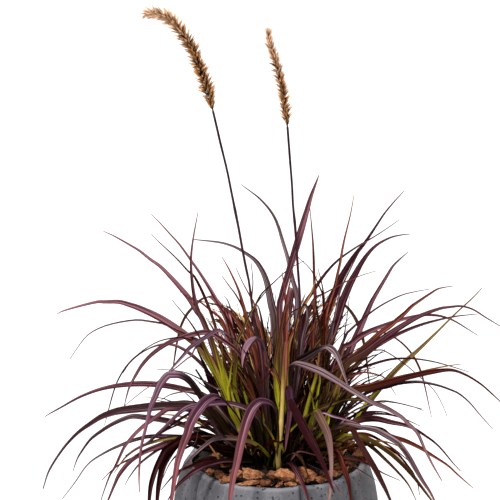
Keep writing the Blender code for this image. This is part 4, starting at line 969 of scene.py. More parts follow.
def grow_blade(name, pattern, points, width, roll, look, outline=USUAL_OUTLINE, painted_shading=(0.0, 0.0),
               folded=False):
    """Lay a copy of the blade along its route, rolled toward the viewer. The look is its share of green
    base, its dried tip, its tone and its twist in degrees. The outline is its width at shares of its
    length. The painted shading is how far up it is darkened with painted shade, and how dark. A folded
    leaf is narrow, and darkened with painted shade, up to where it folds. Unless its base is mostly
    green, its lower part in the clump's core also gets painted shade."""
    green, dry, tone, twist = look
    blade = copy_of(pattern, name)
    local = places_of(blade.data)
    share = local[:, 1] + 0.5
    rows = len(np.unique(np.round(share, 4)))
    row = np.rint(share * (rows - 1)).astype(int)
    steps = np.linspace(0, 1, rows)
    route = shoot_route(points, rows)
    centres, sides, ups = frames_of(route, outward_facing(points, roll))
    turn = np.radians(twist) * np.sin(math.tau * (0.8 * steps + tone)) * steps
    cosine, sine = np.cos(turn)[:, None], np.sin(turn)[:, None]
    frames = (centres, sides * cosine + ups * sine, ups * cosine - sides * sine)
    if folded:
        fold = max(range(rows), key=lambda number: route[number].z) / (rows - 1)
        painted_shading = (fold, FOLD_PAINTED_SHADE)
        outline = tuple((at * fold if at < 1 else fold + (at - 1) * (1 - fold), part)
                        for at, part in FOLDED_OUTLINE)
    wide = eased(steps, outline)
    wide = BLADE_TIP_WIDTH + (width - BLADE_TIP_WIDTH) * wide * (1 + 0.05 * np.sin(steps * 17 + 20 * tone))
    gutter = 0.9 + 1.6 * (1 - smooth_step(0.0, 0.3, steps))
    ripple = BLADE_RIPPLE * np.sin(steps * 26 + 9 * tone) * smooth_step(0.3, 0.6, steps)
    lift = local[:, 2] * gutter[row] + ripple[row] * local[:, 0] * 2
    places = laid(blade, frames, row, local[:, 0] * wide[row], lift * wide[row])
    # Painted shade: the leaf's lower part in the clump's core and its part below the fold are darkened
    low = 1 - smooth_step(*INNER_SHADE_HEIGHTS, places[:, 2] - CROWN_TOP)
    inner = INNER_PAINTED_SHADE * low * (1 - smooth_step(0.22, 0.42, share))
    deep = painted_shading[1] * (1 - smooth_step(painted_shading[0] - 0.05, painted_shading[0] + 0.03, share))
    mark(blade.data, green=green, dry=dry, tone=tone, lanes=width / STREAK_WIDTH,
         deep=deep if green > 0.6 else np.maximum(deep, inner))
    return blade


def thickened(piece, thickness):
    """Give open blades their thickness and mark their lower faces."""
    faces = len(piece.data.polygons)
    worked(piece, "SOLIDIFY", thickness=thickness, offset=-1.0, use_rim=True)
    under = np.zeros(len(piece.data.polygons))
    under[faces:] = 1.0
    mark(piece.data, "FACE", under=under)
    piece.data.shade_smooth()
    return piece


def grow_stem(name, pattern, route, radii, look, bulge=0.0, joints=0):
    """Lay a copy of the tube along a route, thinning toward its tip and swelling at its joints. The
    look is its share of green and its tone."""
    stem = copy_of(pattern, name)
    local = places_of(stem.data)
    row = np.rint(local[:, 2] * (len(route) - 1)).astype(int)
    steps = np.linspace(0, 1, len(route))
    thick = radii[0] + (radii[1] - radii[0]) * steps ** 1.8
    if joints:
        apart = (steps * joints + 0.35) % 1.0
        thick *= 1 + bulge * np.exp(-((apart - 0.5) / 0.05) ** 2) - 0.10 * apart
    laid(stem, frames_of(route, ACROSS), row, local[:, 0] * thick[row], local[:, 1] * thick[row])
    mark(stem.data, share=local[:, 2], green=look[0], tone=look[1])
    return stem


# The planter, its crown and its mulch
def from_fold(degrees, angle):
    """How many degrees lie between angles and a fold."""
    return np.abs((degrees - angle + 180) % 360 - 180)


def fold_push(degrees, height):
    """How far the wall is pressed in at angles from the front and at heights."""
    push = np.zeros_like(degrees)
    for angle, depth in FOLDS:
        apart = from_fold(degrees, angle)
        wide, fine = apart / FOLD_SPREAD, apart / CREASE_SPREAD
        push += depth * np.exp(-wide ** 1.5) + depth * np.exp(-fine ** 2)
        push -= 0.22 * depth * np.exp(-((wide - 2.1) / 1.1) ** 2)
    low = smooth_step(FOLD_FOOT, 0.60 * PLANTER_HEIGHT, height)
    top = smooth_step(0.75 * PLANTER_HEIGHT, PLANTER_HEIGHT, height)
    return push * low * (1 - (1 - FOLD_TOP_SHARE) * top)


def crease_share(degrees, height):
    """How near a place on the wall is to the heart of a fold, where the concrete finish paints shade."""
    share = np.zeros_like(degrees)
    for angle, depth in FOLDS:
        share += depth / FOLDS[1][1] * np.exp(-(from_fold(degrees, angle) / CREASE_SPREAD) ** 2)
    return share * smooth_step(FOLD_FOOT, 0.60 * PLANTER_HEIGHT, height)


def wall_radius(height):
    """Outer radius of the unfolded planter at a height, from its base, belly and rim."""
    if height < BELLY_HEIGHT:
        share = (BELLY_HEIGHT - height) / BELLY_HEIGHT
        return BASE_RADIUS + (BELLY_RADIUS - BASE_RADIUS) * math.sqrt(1 - share ** 2.3)
    share = (height - BELLY_HEIGHT) / (PLANTER_HEIGHT - BELLY_HEIGHT)
    return BELLY_RADIUS - (BELLY_RADIUS - RIM_RADIUS) * share ** 2.1


def planter_profile():
    """From the middle of the hollow's floor, up the inside, over the rim and down the outside."""
    profile = [(0.0, FLOOR_THICKNESS), (wall_radius(0.030) - 2.2 * WALL, FLOOR_THICKNESS)]
    profile += [(wall_radius(height) - WALL, height) for height in np.linspace(0.036, RIM_FOOT, 18)]
    middle = RIM_RADIUS - WALL / 2
    for degrees in range(170, 9, -20):
        angle = math.radians(degrees)
        profile.append((middle + (WALL / 2) * math.cos(angle),
                        PLANTER_HEIGHT - RIM_ROUND + RIM_ROUND * math.sin(angle)))
    profile += [(wall_radius(height), height) for height in np.linspace(RIM_FOOT, 0.012, 48)]
    profile += [(BASE_RADIUS + out, height) for out, height in FOOT_RINGS]
    return profile + [(0.0, 0.0)]


def spun(name, profile, steps):
    """Draw a profile point by point from one corner and spin it round the axis."""
    bare()
    bpy.ops.mesh.primitive_plane_add(size=0.001, location=(0, 0, 0))
    piece = begun(name)
    bpy.ops.mesh.merge(type="CENTER")
    bpy.ops.transform.translate(value=(profile[0][0], 0, profile[0][1]))
    for before, after in zip(profile, profile[1:]):
        move = (after[0] - before[0], 0, after[1] - before[1])
        bpy.ops.mesh.extrude_vertices_move(TRANSFORM_OT_translate={"value": move})
    bpy.ops.mesh.select_all(action="SELECT")
    bpy.ops.mesh.spin(steps=steps, angle=math.tau, axis=(0, 0, 1), center=(0, 0, 0))
    bpy.ops.mesh.select_all(action="SELECT")
    bpy.ops.mesh.remove_doubles(threshold=0.00002)
    bpy.ops.mesh.normals_make_consistent(inside=False)
    bare()
    return piece


def around(places):
    """How far places lie from the axis, and their angles from the front in degrees."""
    return (np.hypot(places[:, 0], places[:, 1]),
            np.degrees(np.arctan2(places[:, 0], -places[:, 1])) % 360)


def lumps(places, coarse, share, fine):
    """Coarse lumps at places, with a share of fine ones."""
    return np.array([noise.noise(Vector(place) * coarse) + share * noise.noise(Vector(place) * fine)
                     for place in places])


def lumpy(piece, low, high, depth, coarse, share, fine):
    """Break up the top of a piece into lumps, more and more from one height to another."""
    places = places_of(piece.data)
    top = smooth_step(low, high, places[:, 2])
    places[:, 2] += depth * lumps(places, coarse, share, fine) * top
    put_places(piece.data, places)
    return smooth_shaded(piece, 60)


def model_planter():
    """The bowl, spun at full height, then pressed into its folds and left a little uneven."""
    planter = spun("planter_shell", planter_profile(), PLANTER_COLUMNS)
    places = places_of(planter.data)
    radius, degrees = around(places)
    uneven = lumps(places, 38, 0.5, 110) * WALL_UNEVENNESS * smooth_step(0.004, 0.02, places[:, 2])
    pressed = np.maximum(radius - fold_push(degrees, places[:, 2]) + uneven, 0.0)
    scale = np.where(radius > 1e-6, pressed / np.maximum(radius, 1e-6), 1.0)
    places[:, :2] *= scale[:, None]
    put_places(planter.data, places)
    mark(planter.data, crease=crease_share(degrees, places[:, 2]))
    return smooth_shaded(planter, 50)


def model_mulch_bed():
    """The lumpy bed of fine bark and soil that the chips lie on."""
    inner, outer, foot = MULCH_INNER, MULCH_OUTER, SOIL_TOP + 0.001
    profile = [(inner, foot), (inner, MULCH_TOP - 0.008)]
    profile += [(inner + (outer - inner) * step / 12, MULCH_TOP - 0.005) for step in range(1, 12)]
    profile += [(outer, MULCH_TOP - 0.010), (outer, foot), ((inner + outer) / 2, foot), (inner, foot)]
    bed = spun("mulch_bed", profile, 220)
    places = places_of(bed.data)
    radius, degrees = around(places)
    share = (radius - inner) / (outer - inner)
    reach = RIM_RADIUS - WALL - MULCH_GAP - fold_push(degrees, np.full(len(places), PLANTER_HEIGHT))
    places[:, :2] *= ((inner + (reach - inner) * share) / radius)[:, None]
    put_places(bed.data, places)
    return lumpy(bed, MULCH_TOP - 0.012, MULCH_TOP - 0.007, 0.0035, 90, 0.6, 260)


def model_crown():
    """The woody crown: a low mound whose top is broken up by the stubs of old shoots."""
    shoulder = CROWN_RADIUS - 0.006
    profile = [(0.0, SOIL_TOP + 0.0005), (CROWN_RADIUS - 0.001, SOIL_TOP + 0.0005),
               (CROWN_RADIUS, CROWN_TOP - 0.009), (shoulder, CROWN_TOP - 0.003)]
    profile += [(shoulder * (1 - step / 18), CROWN_TOP - 0.001) for step in range(1, 19)]
    crown = spun("crown_mound", profile, 150)
    return lumpy(crown, CROWN_TOP - 0.012, CROWN_TOP - 0.004, 0.0030, 120, 0.7, 300)


def model_chip(number, detail):
    """One bark chip, about 1 long: a slab with its corners broken off and a rough, layered face."""
    chance = random.Random(40 + number)
    bare()
    bpy.ops.mesh.primitive_cube_add(size=1)
    chip = begun("chip_pattern_%d" % number)
    for cut in range(CHIP_CUTS):
        angle = math.tau * (cut + chance.uniform(-0.35, 0.35)) / CHIP_CUTS
        slope = chance.uniform(-0.5, 0.5)
        normal = Vector((math.cos(angle), math.sin(angle), slope)).normalized()
        reach = chance.uniform(0.34, 0.47)
        bpy.ops.mesh.select_all(action="SELECT")
        bpy.ops.mesh.bisect(plane_co=normal * reach, plane_no=normal, use_fill=True, clear_outer=True)
    bare()
    worked(chip, "REMESH", mode="VOXEL", voxel_size=0.045)
    places = places_of(chip.data)
    offset = Vector((7.3 * number, 0, 0))
    for index, place in enumerate(places):
        spot = Vector(place)
        grain = noise.noise(Vector((spot.x * 2.4, spot.y * 10, spot.z * 16)) + offset)
        lump = noise.noise(spot * 3.1 + offset)
        crag = noise.noise(spot * 9.0 + offset)
        places[index] = spot * (1 + 0.20 * lump + 0.09 * crag) + Vector((0, 0, 0.20 * grain))
    put_places(chip.data, places)
    worked(chip, "DECIMATE", ratio=detail)
    chip.data.shade_smooth()
    chip.data.set_sharp_from_angle(angle=math.radians(38))
    return chip


# Materials
class Value:
    """A shader socket that Python's operators work on: each one adds its Math node."""

    def __init__(self, finish, socket):
        self.finish = finish
        self.socket = socket

    def math(self, operation, *inputs):
        return self.finish.node("Math", {"operation": operation}, dict(enumerate(inputs)))

    def __add__(self, other):
        return self.math("ADD", self, other)

    def __radd__(self, other):
        return self.math("ADD", other, self)

    def __sub__(self, other):
        return self.math("SUBTRACT", self, other)

    def __rsub__(self, other):
        return self.math("SUBTRACT", other, self)

    def __mul__(self, other):
        return self.math("MULTIPLY", self, other)

    def __rmul__(self, other):
        return self.math("MULTIPLY", other, self)

    def __abs__(self):
        return self.math("ABSOLUTE", self)


class Finish:
    """A material on one Principled shader, with its constant values set on the shader's sockets."""

    def __init__(self, name, **constants):
        self.material = bpy.data.materials.new(name)
        self.material.use_nodes = True
        self.tree = self.material.node_tree
        self.shader = self.tree.nodes["Principled BSDF"]
        for socket, value in constants.items():
            self.shader.inputs[socket.replace("_", " ")].default_value = value

    def node(self, kind, settings=None, inputs=None, output=0):
        """Add a node: its settings first, then the values or links of its sockets."""
        added = self.tree.nodes.new("ShaderNode" + kind)
        for setting, value in (settings or {}).items():
            if setting == "stops":
                self.set_stops(added.color_ramp, value)
            else:
                setattr(added, setting, value)
        for socket, value in (inputs or {}).items():
            self.join(value, added.inputs[socket])
        return Value(self, added.outputs[output])

    def set_stops(self, ramp, stops):
        while len(ramp.elements) < len(stops):
            ramp.elements.new(0.5)
        for element, (position, colour) in zip(ramp.elements, stops):
            element.position = position
            element.color = (*colour, 1.0)

    def join(self, value, socket):
        if isinstance(value, Value):
            self.tree.links.new(value.socket, socket)
        elif socket.type == "RGBA" and len(value) == 3:
            socket.default_value = (*value, 1.0)
        else:
            socket.default_value = value

    def chart(self):
        """Across and along a blade, from its UV map."""
        parts = self.node("SeparateXYZ", {}, {0: self.node("UVMap")})
        return parts, Value(self, parts.socket.node.outputs[1])

    def attribute(self, name):
        return self.node("Attribute", {"attribute_name": name}, output="Fac")

    def attributes(self, *names):
        return [self.attribute(name) for name in names]

    def place(self):
        return self.node("TexCoord", output="Object")

    def vector(self, x, y, z):
        return self.node("CombineXYZ", {}, {0: x, 1: y, 2: z})

    def scaled(self, vector, scale):
        return self.node("Mapping", {}, {"Vector": vector, "Scale": scale})

    def noise(self, vector, scale, detail=3.0, roughness=0.5):
        return self.node("TexNoise", {}, {"Vector": vector, "Scale": scale, "Detail": detail,
                                          "Roughness": roughness})

    def cells(self, vector, scale):
        return self.node("TexVoronoi", {}, {"Vector": vector, "Scale": scale})

    def mix(self, factor, first, second, blend="MIX"):
        return self.node("Mix", {"data_type": "RGBA", "blend_type": blend},
                         {0: factor, 6: first, 7: second}, output=2)

    def dimmed(self, skin, light):
        """A colour made lighter or darker."""
        return self.mix(1.0, skin, self.vector(light, light, light), "MULTIPLY")

    def smooth(self, value, low, high):
        return self.node("MapRange", {"interpolation_type": "SMOOTHSTEP"},
                         {"Value": value, "From Min": low, "From Max": high})

    def feed(self, skin, roughness, relief, strength, distance):
        """Feed the shader its colour, its roughness and a bump made from its relief."""
        bump = self.node("Bump", {}, {"Height": relief, "Strength": strength, "Distance": distance})
        for socket, value in (("Base Color", skin), ("Roughness", roughness), ("Normal", bump)):
            self.join(value, self.shader.inputs[socket])
        return self.material


def leaf_finish(name):
    """A leaf's satin skin: green at its base, streaked in its own colour and in painted sheen above, dried
    at the tip, with painted light on one half, margins partly red and partly painted shade, and painted
    shade low in the clump.
    """
    ground, streak_and_sheen, lower, dried = LEAF_FINISHES[name]
    finish = Finish("leaf_" + name, Specular_IOR_Level=0.03, Specular_Tint=SATIN_TINT)
    across, along = finish.chart()
    tone, green, dry, lanes, deep, under = finish.attributes("tone", "green", "dry", "lanes", "deep", "under")
    lane = across * lanes
    centred = abs(across - 0.5) * 2
    streak = finish.noise(finish.vector(lane + tone * 31, along * 1.7, tone * 17), 1.0, 2.0, 0.5)
    thread = finish.noise(finish.vector(lane * 2.3 + tone * 13, along * 4, tone * 7), 1.0, 2.0, 0.6)
    blotch = finish.noise(finish.place(), 30.0, 3.0, 0.55)
    # Painted light: one half of the blade lighter than the other, as light falls across its fold
    half = (finish.smooth(across, 0.46, 0.54) - 0.5) * (finish.smooth(tone, 0.3, 0.7) - 0.5) * 1.3
    rib = 1 - finish.smooth(centred, 0.04, 0.16)
    # The bright streaks are partly the leaf's own streaks and partly painted sheen
    streaks = streak + (thread - 0.5) * 0.70 + half * 0.14 + (tone - 0.5) * 0.30
    skin = finish.mix(finish.smooth(streaks, 0.42, 0.72), ground, streak_and_sheen)
    skin = finish.mix(under * 0.8, skin, lower)
    reach = along + (streak - 0.5) * 0.22 + centred * 0.06
    olive_part = 1 - finish.smooth(reach, green + 0.02, green + 0.30)
    green_part = 1 - finish.smooth(reach, green - 0.16, green + 0.06)
    skin = finish.mix(olive_part * 0.7, skin, BASE_OLIVE)
    skin = finish.mix(green_part * (0.55 + thread * 0.6), skin, BASE_GREEN)
    tip_part = finish.smooth(along + (streak - 0.5) * 0.25, 1.05 - dry * 0.75, 1.30 - dry * 0.45)
    skin = finish.mix(tip_part * 0.70, skin, dried)
    # Darker margins: partly their own red, partly painted shade between neighbouring blades
    skin = finish.mix(finish.smooth(centred, 0.78, 0.98) * 0.60, skin, MARGIN_RED_AND_SHADE)
    light = 0.05 + thread * 1.20 + blotch * 0.65 + (tone - 0.5) * 0.9 + half * 0.18 + rib * 0.12
    # Painted shade: darken toward near black where the leaf lies in the clump's core or below its fold
    skin = finish.mix(deep * PAINTED_SHADE_STRENGTH, finish.dimmed(skin, light), PAINTED_SHADE_COLOUR)
    veins = finish.node("Math", {"operation": "SINE"}, {0: lane * 9})
    return finish.feed(skin, 0.38 + blotch * 0.20, veins * 0.4 + streak * 1.2 + rib * 0.8, 0.35, 0.0002)


def stem_finish(name, low, high, joint, roughness):
    """A stem's skin: ribbed along its length, its colour changing upward."""
    finish = Finish(name, Specular_IOR_Level=0.12)
    share, tone, green = finish.attributes("share", "tone", "green")
    place = finish.place()
    streak = finish.noise(finish.scaled(place, (900, 900, 40)), 1.0, 3.0, 0.6)
    blotch = finish.noise(place, 60.0, 3.0, 0.6)
    skin = finish.mix(finish.smooth(share + (blotch - 0.5) * 0.4 + (tone - 0.5) * 0.6, 0.20, 0.55), low, high)
    skin = finish.mix(finish.smooth(share, 0.62, 0.86), skin, joint)
    skin = finish.mix(finish.smooth(blotch + tone * 0.2, 0.66, 0.84) * 0.7, skin, joint)
    skin = finish.mix((1 - green) * 0.9, skin, joint)
    skin = finish.dimmed(skin, 0.65 + streak * 0.6 + (tone - 0.5) * 0.5)
    return finish.feed(skin, roughness + blotch * 0.15, streak, 0.4, 0.0003)


def concrete_finish():
    """Cast concrete: grey with a faint violet cast, soft streaks down the wall, and open pits, with painted
    shade in the fold creases and the pits and a painted highlight along the rim.
    """
    finish = Finish("cast_concrete", Specular_IOR_Level=0.35)
    place = finish.place()
    cloud = finish.noise(place, 9.0, 5.0, 0.6)
    mottle = finish.noise(place, 46.0, 5.0, 0.65)
    grain = finish.noise(place, 900.0, 3.0, 0.7)
    streak = finish.noise(finish.scaled(place, (150, 150, 14)), 1.0, 4.0, 0.6)
    scratch = finish.noise(finish.scaled(place, (520, 520, 20)), 1.0, 3.0, 0.6)
    height = finish.node("SeparateXYZ", {}, {0: place}, output="Z")
    # A painted highlight along the rounded rim
    rim = finish.smooth(height, PLANTER_HEIGHT - 0.0060, PLANTER_HEIGHT - 0.0015)
    few = finish.smooth(finish.noise(place, 24.0, 2.0, 0.5), 0.36, 0.46)
    pit = (1 - finish.smooth(finish.cells(place, 112.0), 0.16, 0.25)) * few
    speck = (1 - finish.smooth(finish.cells(place, 210.0), 0.14, 0.27)) * finish.smooth(mottle, 0.42, 0.54)
    skin = finish.mix(finish.smooth(cloud, 0.35, 0.68), (0.053, 0.051, 0.057), (0.096, 0.093, 0.102))
    skin = finish.mix(finish.smooth(streak, 0.45, 0.75) * 0.55, skin, (0.160, 0.154, 0.170))
    skin = finish.mix(finish.smooth(mottle, 0.50, 0.75) * 0.50, skin, (0.042, 0.040, 0.045))
    skin = finish.mix(finish.smooth(scratch, 0.48, 0.70) * 0.40, skin, (0.050, 0.048, 0.054))
    skin = finish.mix(rim * 0.35, skin, (0.260, 0.255, 0.275))
    skin = finish.mix(finish.smooth(grain, 0.35, 0.7) * 0.22, skin, (0.17, 0.165, 0.18))
    # Painted shade in the creases of the folds
    skin = finish.mix(finish.attribute("crease") * 0.80, skin, (0.014, 0.012, 0.014))
    # Painted shade in the pits, which the bump also sinks
    skin = finish.mix(pit * 0.85, skin, (0.008, 0.008, 0.010))
    skin = finish.mix(speck * 0.70, skin, (0.016, 0.015, 0.018))
    relief = grain * 0.12 + mottle * 0.5 - pit * 2.2 - speck * 0.6
    return finish.feed(skin, 0.62 + grain * 0.2 + pit * 0.15, relief, 0.55, 0.0008)


def bark_finish():
    """Conifer bark: orange-brown layers with darker seams and pale corky edges."""
    finish = Finish("bark_chip", Specular_IOR_Level=0.25)
    tone = finish.attribute("tone")
    place = finish.place()
    layer = finish.noise(place, 190.0, 6.0, 0.7)
    cork = finish.noise(place, 620.0, 4.0, 0.7)
    patch = finish.noise(place, 48.0, 3.0, 0.5)
    skin = finish.node("ValToRGB", {"stops": ((0.37, (0.012, 0.003, 0.001)), (0.46, (0.110, 0.029, 0.009)),
                                              (0.55, (0.300, 0.100, 0.034)), (0.70, (0.440, 0.205, 0.095)))},
                       {0: layer * 1.05 + patch * 0.15 + tone * 0.20 - 0.18})
    skin = finish.mix(finish.smooth(cork, 0.54, 0.74) * 0.5, skin, (0.50, 0.27, 0.15))
    skin = finish.mix((1 - finish.smooth(cork, 0.34, 0.46)) * 0.8, skin, (0.016, 0.005, 0.002))
    return finish.feed(skin, 0.78 + cork * 0.2, layer * 1.4 + cork * 0.8, 1.0, 0.0030)


def crumb_finish(name, dark, light):
    """Moist crumbs of soil, fibre or fine bark, lighter in patches."""
    finish = Finish(name, Specular_IOR_Level=0.2)
    place = finish.place()
    crumb = finish.noise(place, 260.0, 6.0, 0.75)
    patch = finish.noise(place, 60.0, 3.0, 0.5)
    skin = finish.mix(finish.smooth(crumb * 0.8 + patch * 0.3, 0.45, 0.75), dark, light)
    return finish.feed(skin, 0.85 + crumb * 0.12, crumb, 0.9, 0.0018)


def spike_finish():
    """Dry spikelets: brown where they sit, golden tan at their tips, paler toward the spike's end."""
    finish = Finish("dry_spikelet", Specular_IOR_Level=0.2)
    share, reach, tone = finish.attributes("share", "reach", "tone")
    fleck = finish.noise(finish.place(), 700.0, 3.0, 0.6)
    skin = finish.mix(finish.smooth(reach, 0.18, 0.60), (0.026, 0.005, 0.001), (0.540, 0.250, 0.082))
    pale = finish.mix(finish.smooth(reach, 0.12, 0.50), (0.120, 0.046, 0.018), (0.690, 0.440, 0.280))
    skin = finish.mix(finish.smooth(share + (tone - 0.5) * 0.3, 0.35, 0.90), skin, pale)
    skin = finish.dimmed(skin, 0.80 + fleck * 0.35 + (tone - 0.5) * 1.1)
    return finish.feed(skin, 0.62 + fleck * 0.2, fleck, 0.4, 0.0003)


# Flower spikes
def model_spikelet():
    """One spikelet along +Z, 1 long: a flame-shaped body with a few fine bristles beside it."""
    chance = random.Random(11)
    body = model_tube("spikelet_body", 6, 6)
    local = places_of(body.data)
    girth = SPIKELET_GIRTH * np.sin(math.pi * np.clip(local[:, 2] ** 0.62 * 0.95 + 0.05, 0, 1)) ** 0.9
    local[:, :2] *= girth[:, None]
    local[:, 2] *= SPIKELET_BODY
    put_places(body.data, local)
    bristle_pattern = model_tube("bristle_pattern", 3, 3)
    parts = [body]
    for number in range(BRISTLES):
        bristle = copy_of(bristle_pattern, "bristle")
        local = places_of(bristle.data)
        turn = math.tau * (number + chance.uniform(-0.4, 0.4)) / BRISTLES
        lean = chance.uniform(0.10, 0.30)
        long = chance.uniform(0.95, 1.25)
        rise = local[:, 2].copy()
        thick = BRISTLE_RADIUS * (1 - 0.9 * rise)
        spread = lean * (0.35 * rise + 0.65 * rise ** 2) + 0.05
        local[:, 0] = local[:, 0] * thick + math.cos(turn) * spread
        local[:, 1] = local[:, 1] * thick + math.sin(turn) * spread
        local[:, 2] = 0.04 + rise * long
        put_places(bristle.data, local)
        parts.append(bristle)
    bpy.data.objects.remove(bristle_pattern)
    spikelet = joined("spikelet_pattern", parts)
    mark(spikelet.data, reach=places_of(spikelet.data)[:, 2])
    return spikelet


def grow_spike(name, pattern, stem_pattern, toward, reach, spread, blunt, pixels):
    """Set spikelets round a spike's axis, longest in the middle and closing in at the tip."""
    chance = random.Random(name)
    axis = [traced(pixel, toward / 1000) for pixel in pixels]
    route = smooth_route(axis, SPIKE_POINTS)
    directions = tangents(route)
    ups = facings(directions, ACROSS)
    length = sum((after - before).length for before, after in zip(route, route[1:]))
    levels = int(length / SPIKELET_STEP)
    local = places_of(pattern.data)
    parts = []
    for level in range(levels):
        share = SPIKE_END * (level + 0.5) / levels
        step = share * (SPIKE_POINTS - 1)
        at = min(int(step), SPIKE_POINTS - 2)
        point = route[at].lerp(route[at + 1], step - at)
        along, up = directions[at], ups[at]
        side = along.cross(up)
        swell = min(1.0, 0.75 + 2.5 * share) * (1 - blunt * smooth_step(0.55, 1.0, share))
        closing = (1 - 0.30 * share ** 3) * (0.5 + 0.5 * smooth_step(0.0, 0.08, share))
        for number in range(SPIKELETS_AROUND):
            turn = math.radians(level * SPIKELET_TURN + 360 * number / SPIKELETS_AROUND
                                + chance.uniform(-16, 16))
            out = side * math.cos(turn) + up * math.sin(turn)
            lean = math.radians(spread * closing + chance.uniform(-14, 14))
            long = reach * swell * chance.uniform(0.65, 1.20)
            heading = (along * math.cos(lean) + out * math.sin(lean)).normalized()
            across = heading.cross(along.cross(out)).normalized()
            axes = np.array((heading.cross(across), across, heading))
            spikelet = copy_of(pattern, "spikelet")
            put_places(spikelet.data, np.array(point + out * 0.0008) + (local @ axes) * long)
            mark(spikelet.data, share=share, tone=chance.random())
            parts.append(spikelet)
    axis.insert(0, axis[0] * 2 - axis[1].lerp(axis[0], 0.5))
    rachis = grow_stem("rachis", stem_pattern, smooth_route(axis, STEM_RINGS + 1), RACHIS_RADII, (0.0, 0.5))
    mark(rachis.data, share=0.0, reach=0.0, tone=0.0)
    spike = joined(name.replace("flower", "bristly"), parts + [rachis])
    spike.data.shade_smooth()
    return spike


# Growing and laying the pieces
def set_stage():
    """A camera as the picture has it, a pale floor, and soft light from all sides."""
    scene = bpy.context.scene
    lens = bpy.data.cameras.new("camera")
    lens.sensor_width = SENSOR
    lens.lens = SENSOR * FOCAL / PICTURE
    lens.clip_end = FAR_END
    camera = bpy.data.objects.new("camera", lens)
    scene.collection.objects.link(camera)
    camera.matrix_world = (Matrix.Translation(EYE)
                           @ Matrix((ACROSS, UPWARD, -SIGHT)).transposed().to_4x4())
    scene.camera = camera
    bare()
    bpy.ops.mesh.primitive_plane_add(size=FLOOR_SIZE, location=(0, 0, -FLOOR_DROP))
    floor = bpy.context.active_object
    floor.name = "floor"
    paint = Finish("pale_floor", Roughness=0.9, Base_Color=FLOOR_GREY, Specular_IOR_Level=0.0)
    floor.data.materials.append(paint.material)
    world = bpy.data.worlds.new("studio")
    world.use_nodes = True
    sky = world.node_tree.nodes["Background"].inputs
    sky["Color"].default_value = (1.0, 1.0, 1.0, 1.0)
    sky["Strength"].default_value = WORLD_LIGHT
    scene.world = world
    for name, place, spread, power in LIGHTS:
        lamp = bpy.data.lights.new(name, "SUN")
        lamp.angle = math.radians(spread)
        lamp.energy = power
        light = bpy.data.objects.new(name, lamp)
        light.location = place
        light.rotation_euler = (-Vector(place)).to_track_quat("-Z", "Y").to_euler()
        scene.collection.objects.link(light)
    scene.view_settings.view_transform = "Standard"


def lay_chip(pattern, centre, size, turn, tilt):
    """One chip, laid flat at a place and then turned and tilted a little."""
    chip = copy_of(pattern, "chip")
    chip.data.transform(Matrix.Translation(centre) @ Matrix.Rotation(turn, 4, "Z")
                        @ Matrix.Rotation(tilt[0], 4, "X") @ Matrix.Rotation(tilt[1], 4, "Y")
                        @ Matrix.Diagonal((*size, 1.0)))
    return chip


def strew_chips():
    """The chips that the picture shows, then more all round the crown."""
    chance = random.Random(5)
    fine = [model_chip(number, SHOWN_DETAIL) for number in range(CHIP_SHAPES)]
    plain = [model_chip(number, STREWN_DETAIL) for number in range(CHIP_SHAPES)]
    chips = []
    for pixel, toward, long, broad, thick, turn, shape in SHOWN_CHIPS:
        size = (long / 1000, broad / 1000, thick / 1000)
        tilt = (chance.uniform(0.25, 0.6), chance.uniform(-0.2, 0.2))
        chips.append(lay_chip(fine[shape], traced(pixel, toward / 1000), size, math.radians(turn), tilt))
        mark(chips[-1].data, tone=chance.uniform(0.45, 1.0))
    for number in range(CHIP_COUNT):
        angle = math.tau * chance.random()
        reach = math.sqrt(chance.uniform(ROOT_RADIUS ** 2, (RIM_RADIUS - WALL - 0.016) ** 2))
        long = chance.uniform(*CHIP_LENGTHS)
        size = (long, long * chance.uniform(0.45, 0.8), long * chance.uniform(0.2, 0.36))
        centre = Vector((reach * math.cos(angle), reach * math.sin(angle),
                         MULCH_TOP + chance.uniform(-0.006, 0.003)))
        if inside(pictured(centre), OPEN_SOIL):
            size = tuple(side * SOIL_CHIP_SHARE for side in size)
            centre.z -= 0.003
        tilt = (chance.uniform(-0.4, 0.4), chance.uniform(-0.4, 0.4))
        chips.append(lay_chip(plain[number % CHIP_SHAPES], centre, size, math.tau * chance.random(), tilt))
        mark(chips[-1].data, tone=chance.random())
    for pattern in fine + plain:
        bpy.data.objects.remove(pattern)
    return joined("bark_chips", chips)


def outline_of(name):
    """The outline of a leaf: its own, a long drawn one or the usual one."""
    return LEAF_OUTLINES.get(name, DRAWN_OUTLINE if name in DRAWN_LEAVES else USUAL_OUTLINE)


def grow_leaves(pattern):
    """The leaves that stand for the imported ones, each a piece of its own."""
    chance = random.Random(21)
    for name, width, finish, foot, toward, green, dry, pixels in LEAVES:
        points = foot_points(foot) + traced_route(pixels, toward)
        tone = LEAF_TONES_AND_PAINTED_LIGHT.get(name, chance.uniform(0.38, 0.62))
        look = (green, dry, tone, chance.uniform(-14, 14))
        blade = grow_blade("blade_" + name, pattern, points, width / 1000, BLADE_ROLL, look,
                           outline_of(name), LEAF_PAINTED_SHADES.get(name, (0.0, 0.0)))
        keep(thickened(blade, BLADE_THICKNESS), NODE_SLOTS["leaf_" + name], LEAF_MATERIALS[finish],
             "leaf_" + name)
    for name, width, finish, foot, heading, reach, top, end in BACK_LEAVES:
        points = arching_points(foot_points(foot), heading, reach, top, end)
        look = (0.25, 0.2, chance.uniform(0.3, 0.7), chance.uniform(-14, 14))
        blade = grow_blade("blade_" + name, pattern, points, width / 1000, 0.0, look)
        keep(thickened(blade, BLADE_THICKNESS), LEAF_SLOTS[finish], LEAF_MATERIALS[finish], "leaf_" + name)


def has_room(points):
    """Whether a leaf stays in the picture's thicket, behind the front leaves and within the clump."""
    return all(inside(pictured(point), THICKET) and point.z > LOWEST_LEAF
               and cad_low.y + FRONT_MARGIN < point.y < cad_high.y - BACK_MARGIN
               and (point.z < FRONT_HEIGHT or point.y > -FRONT_DEPTH)
               for point in points)


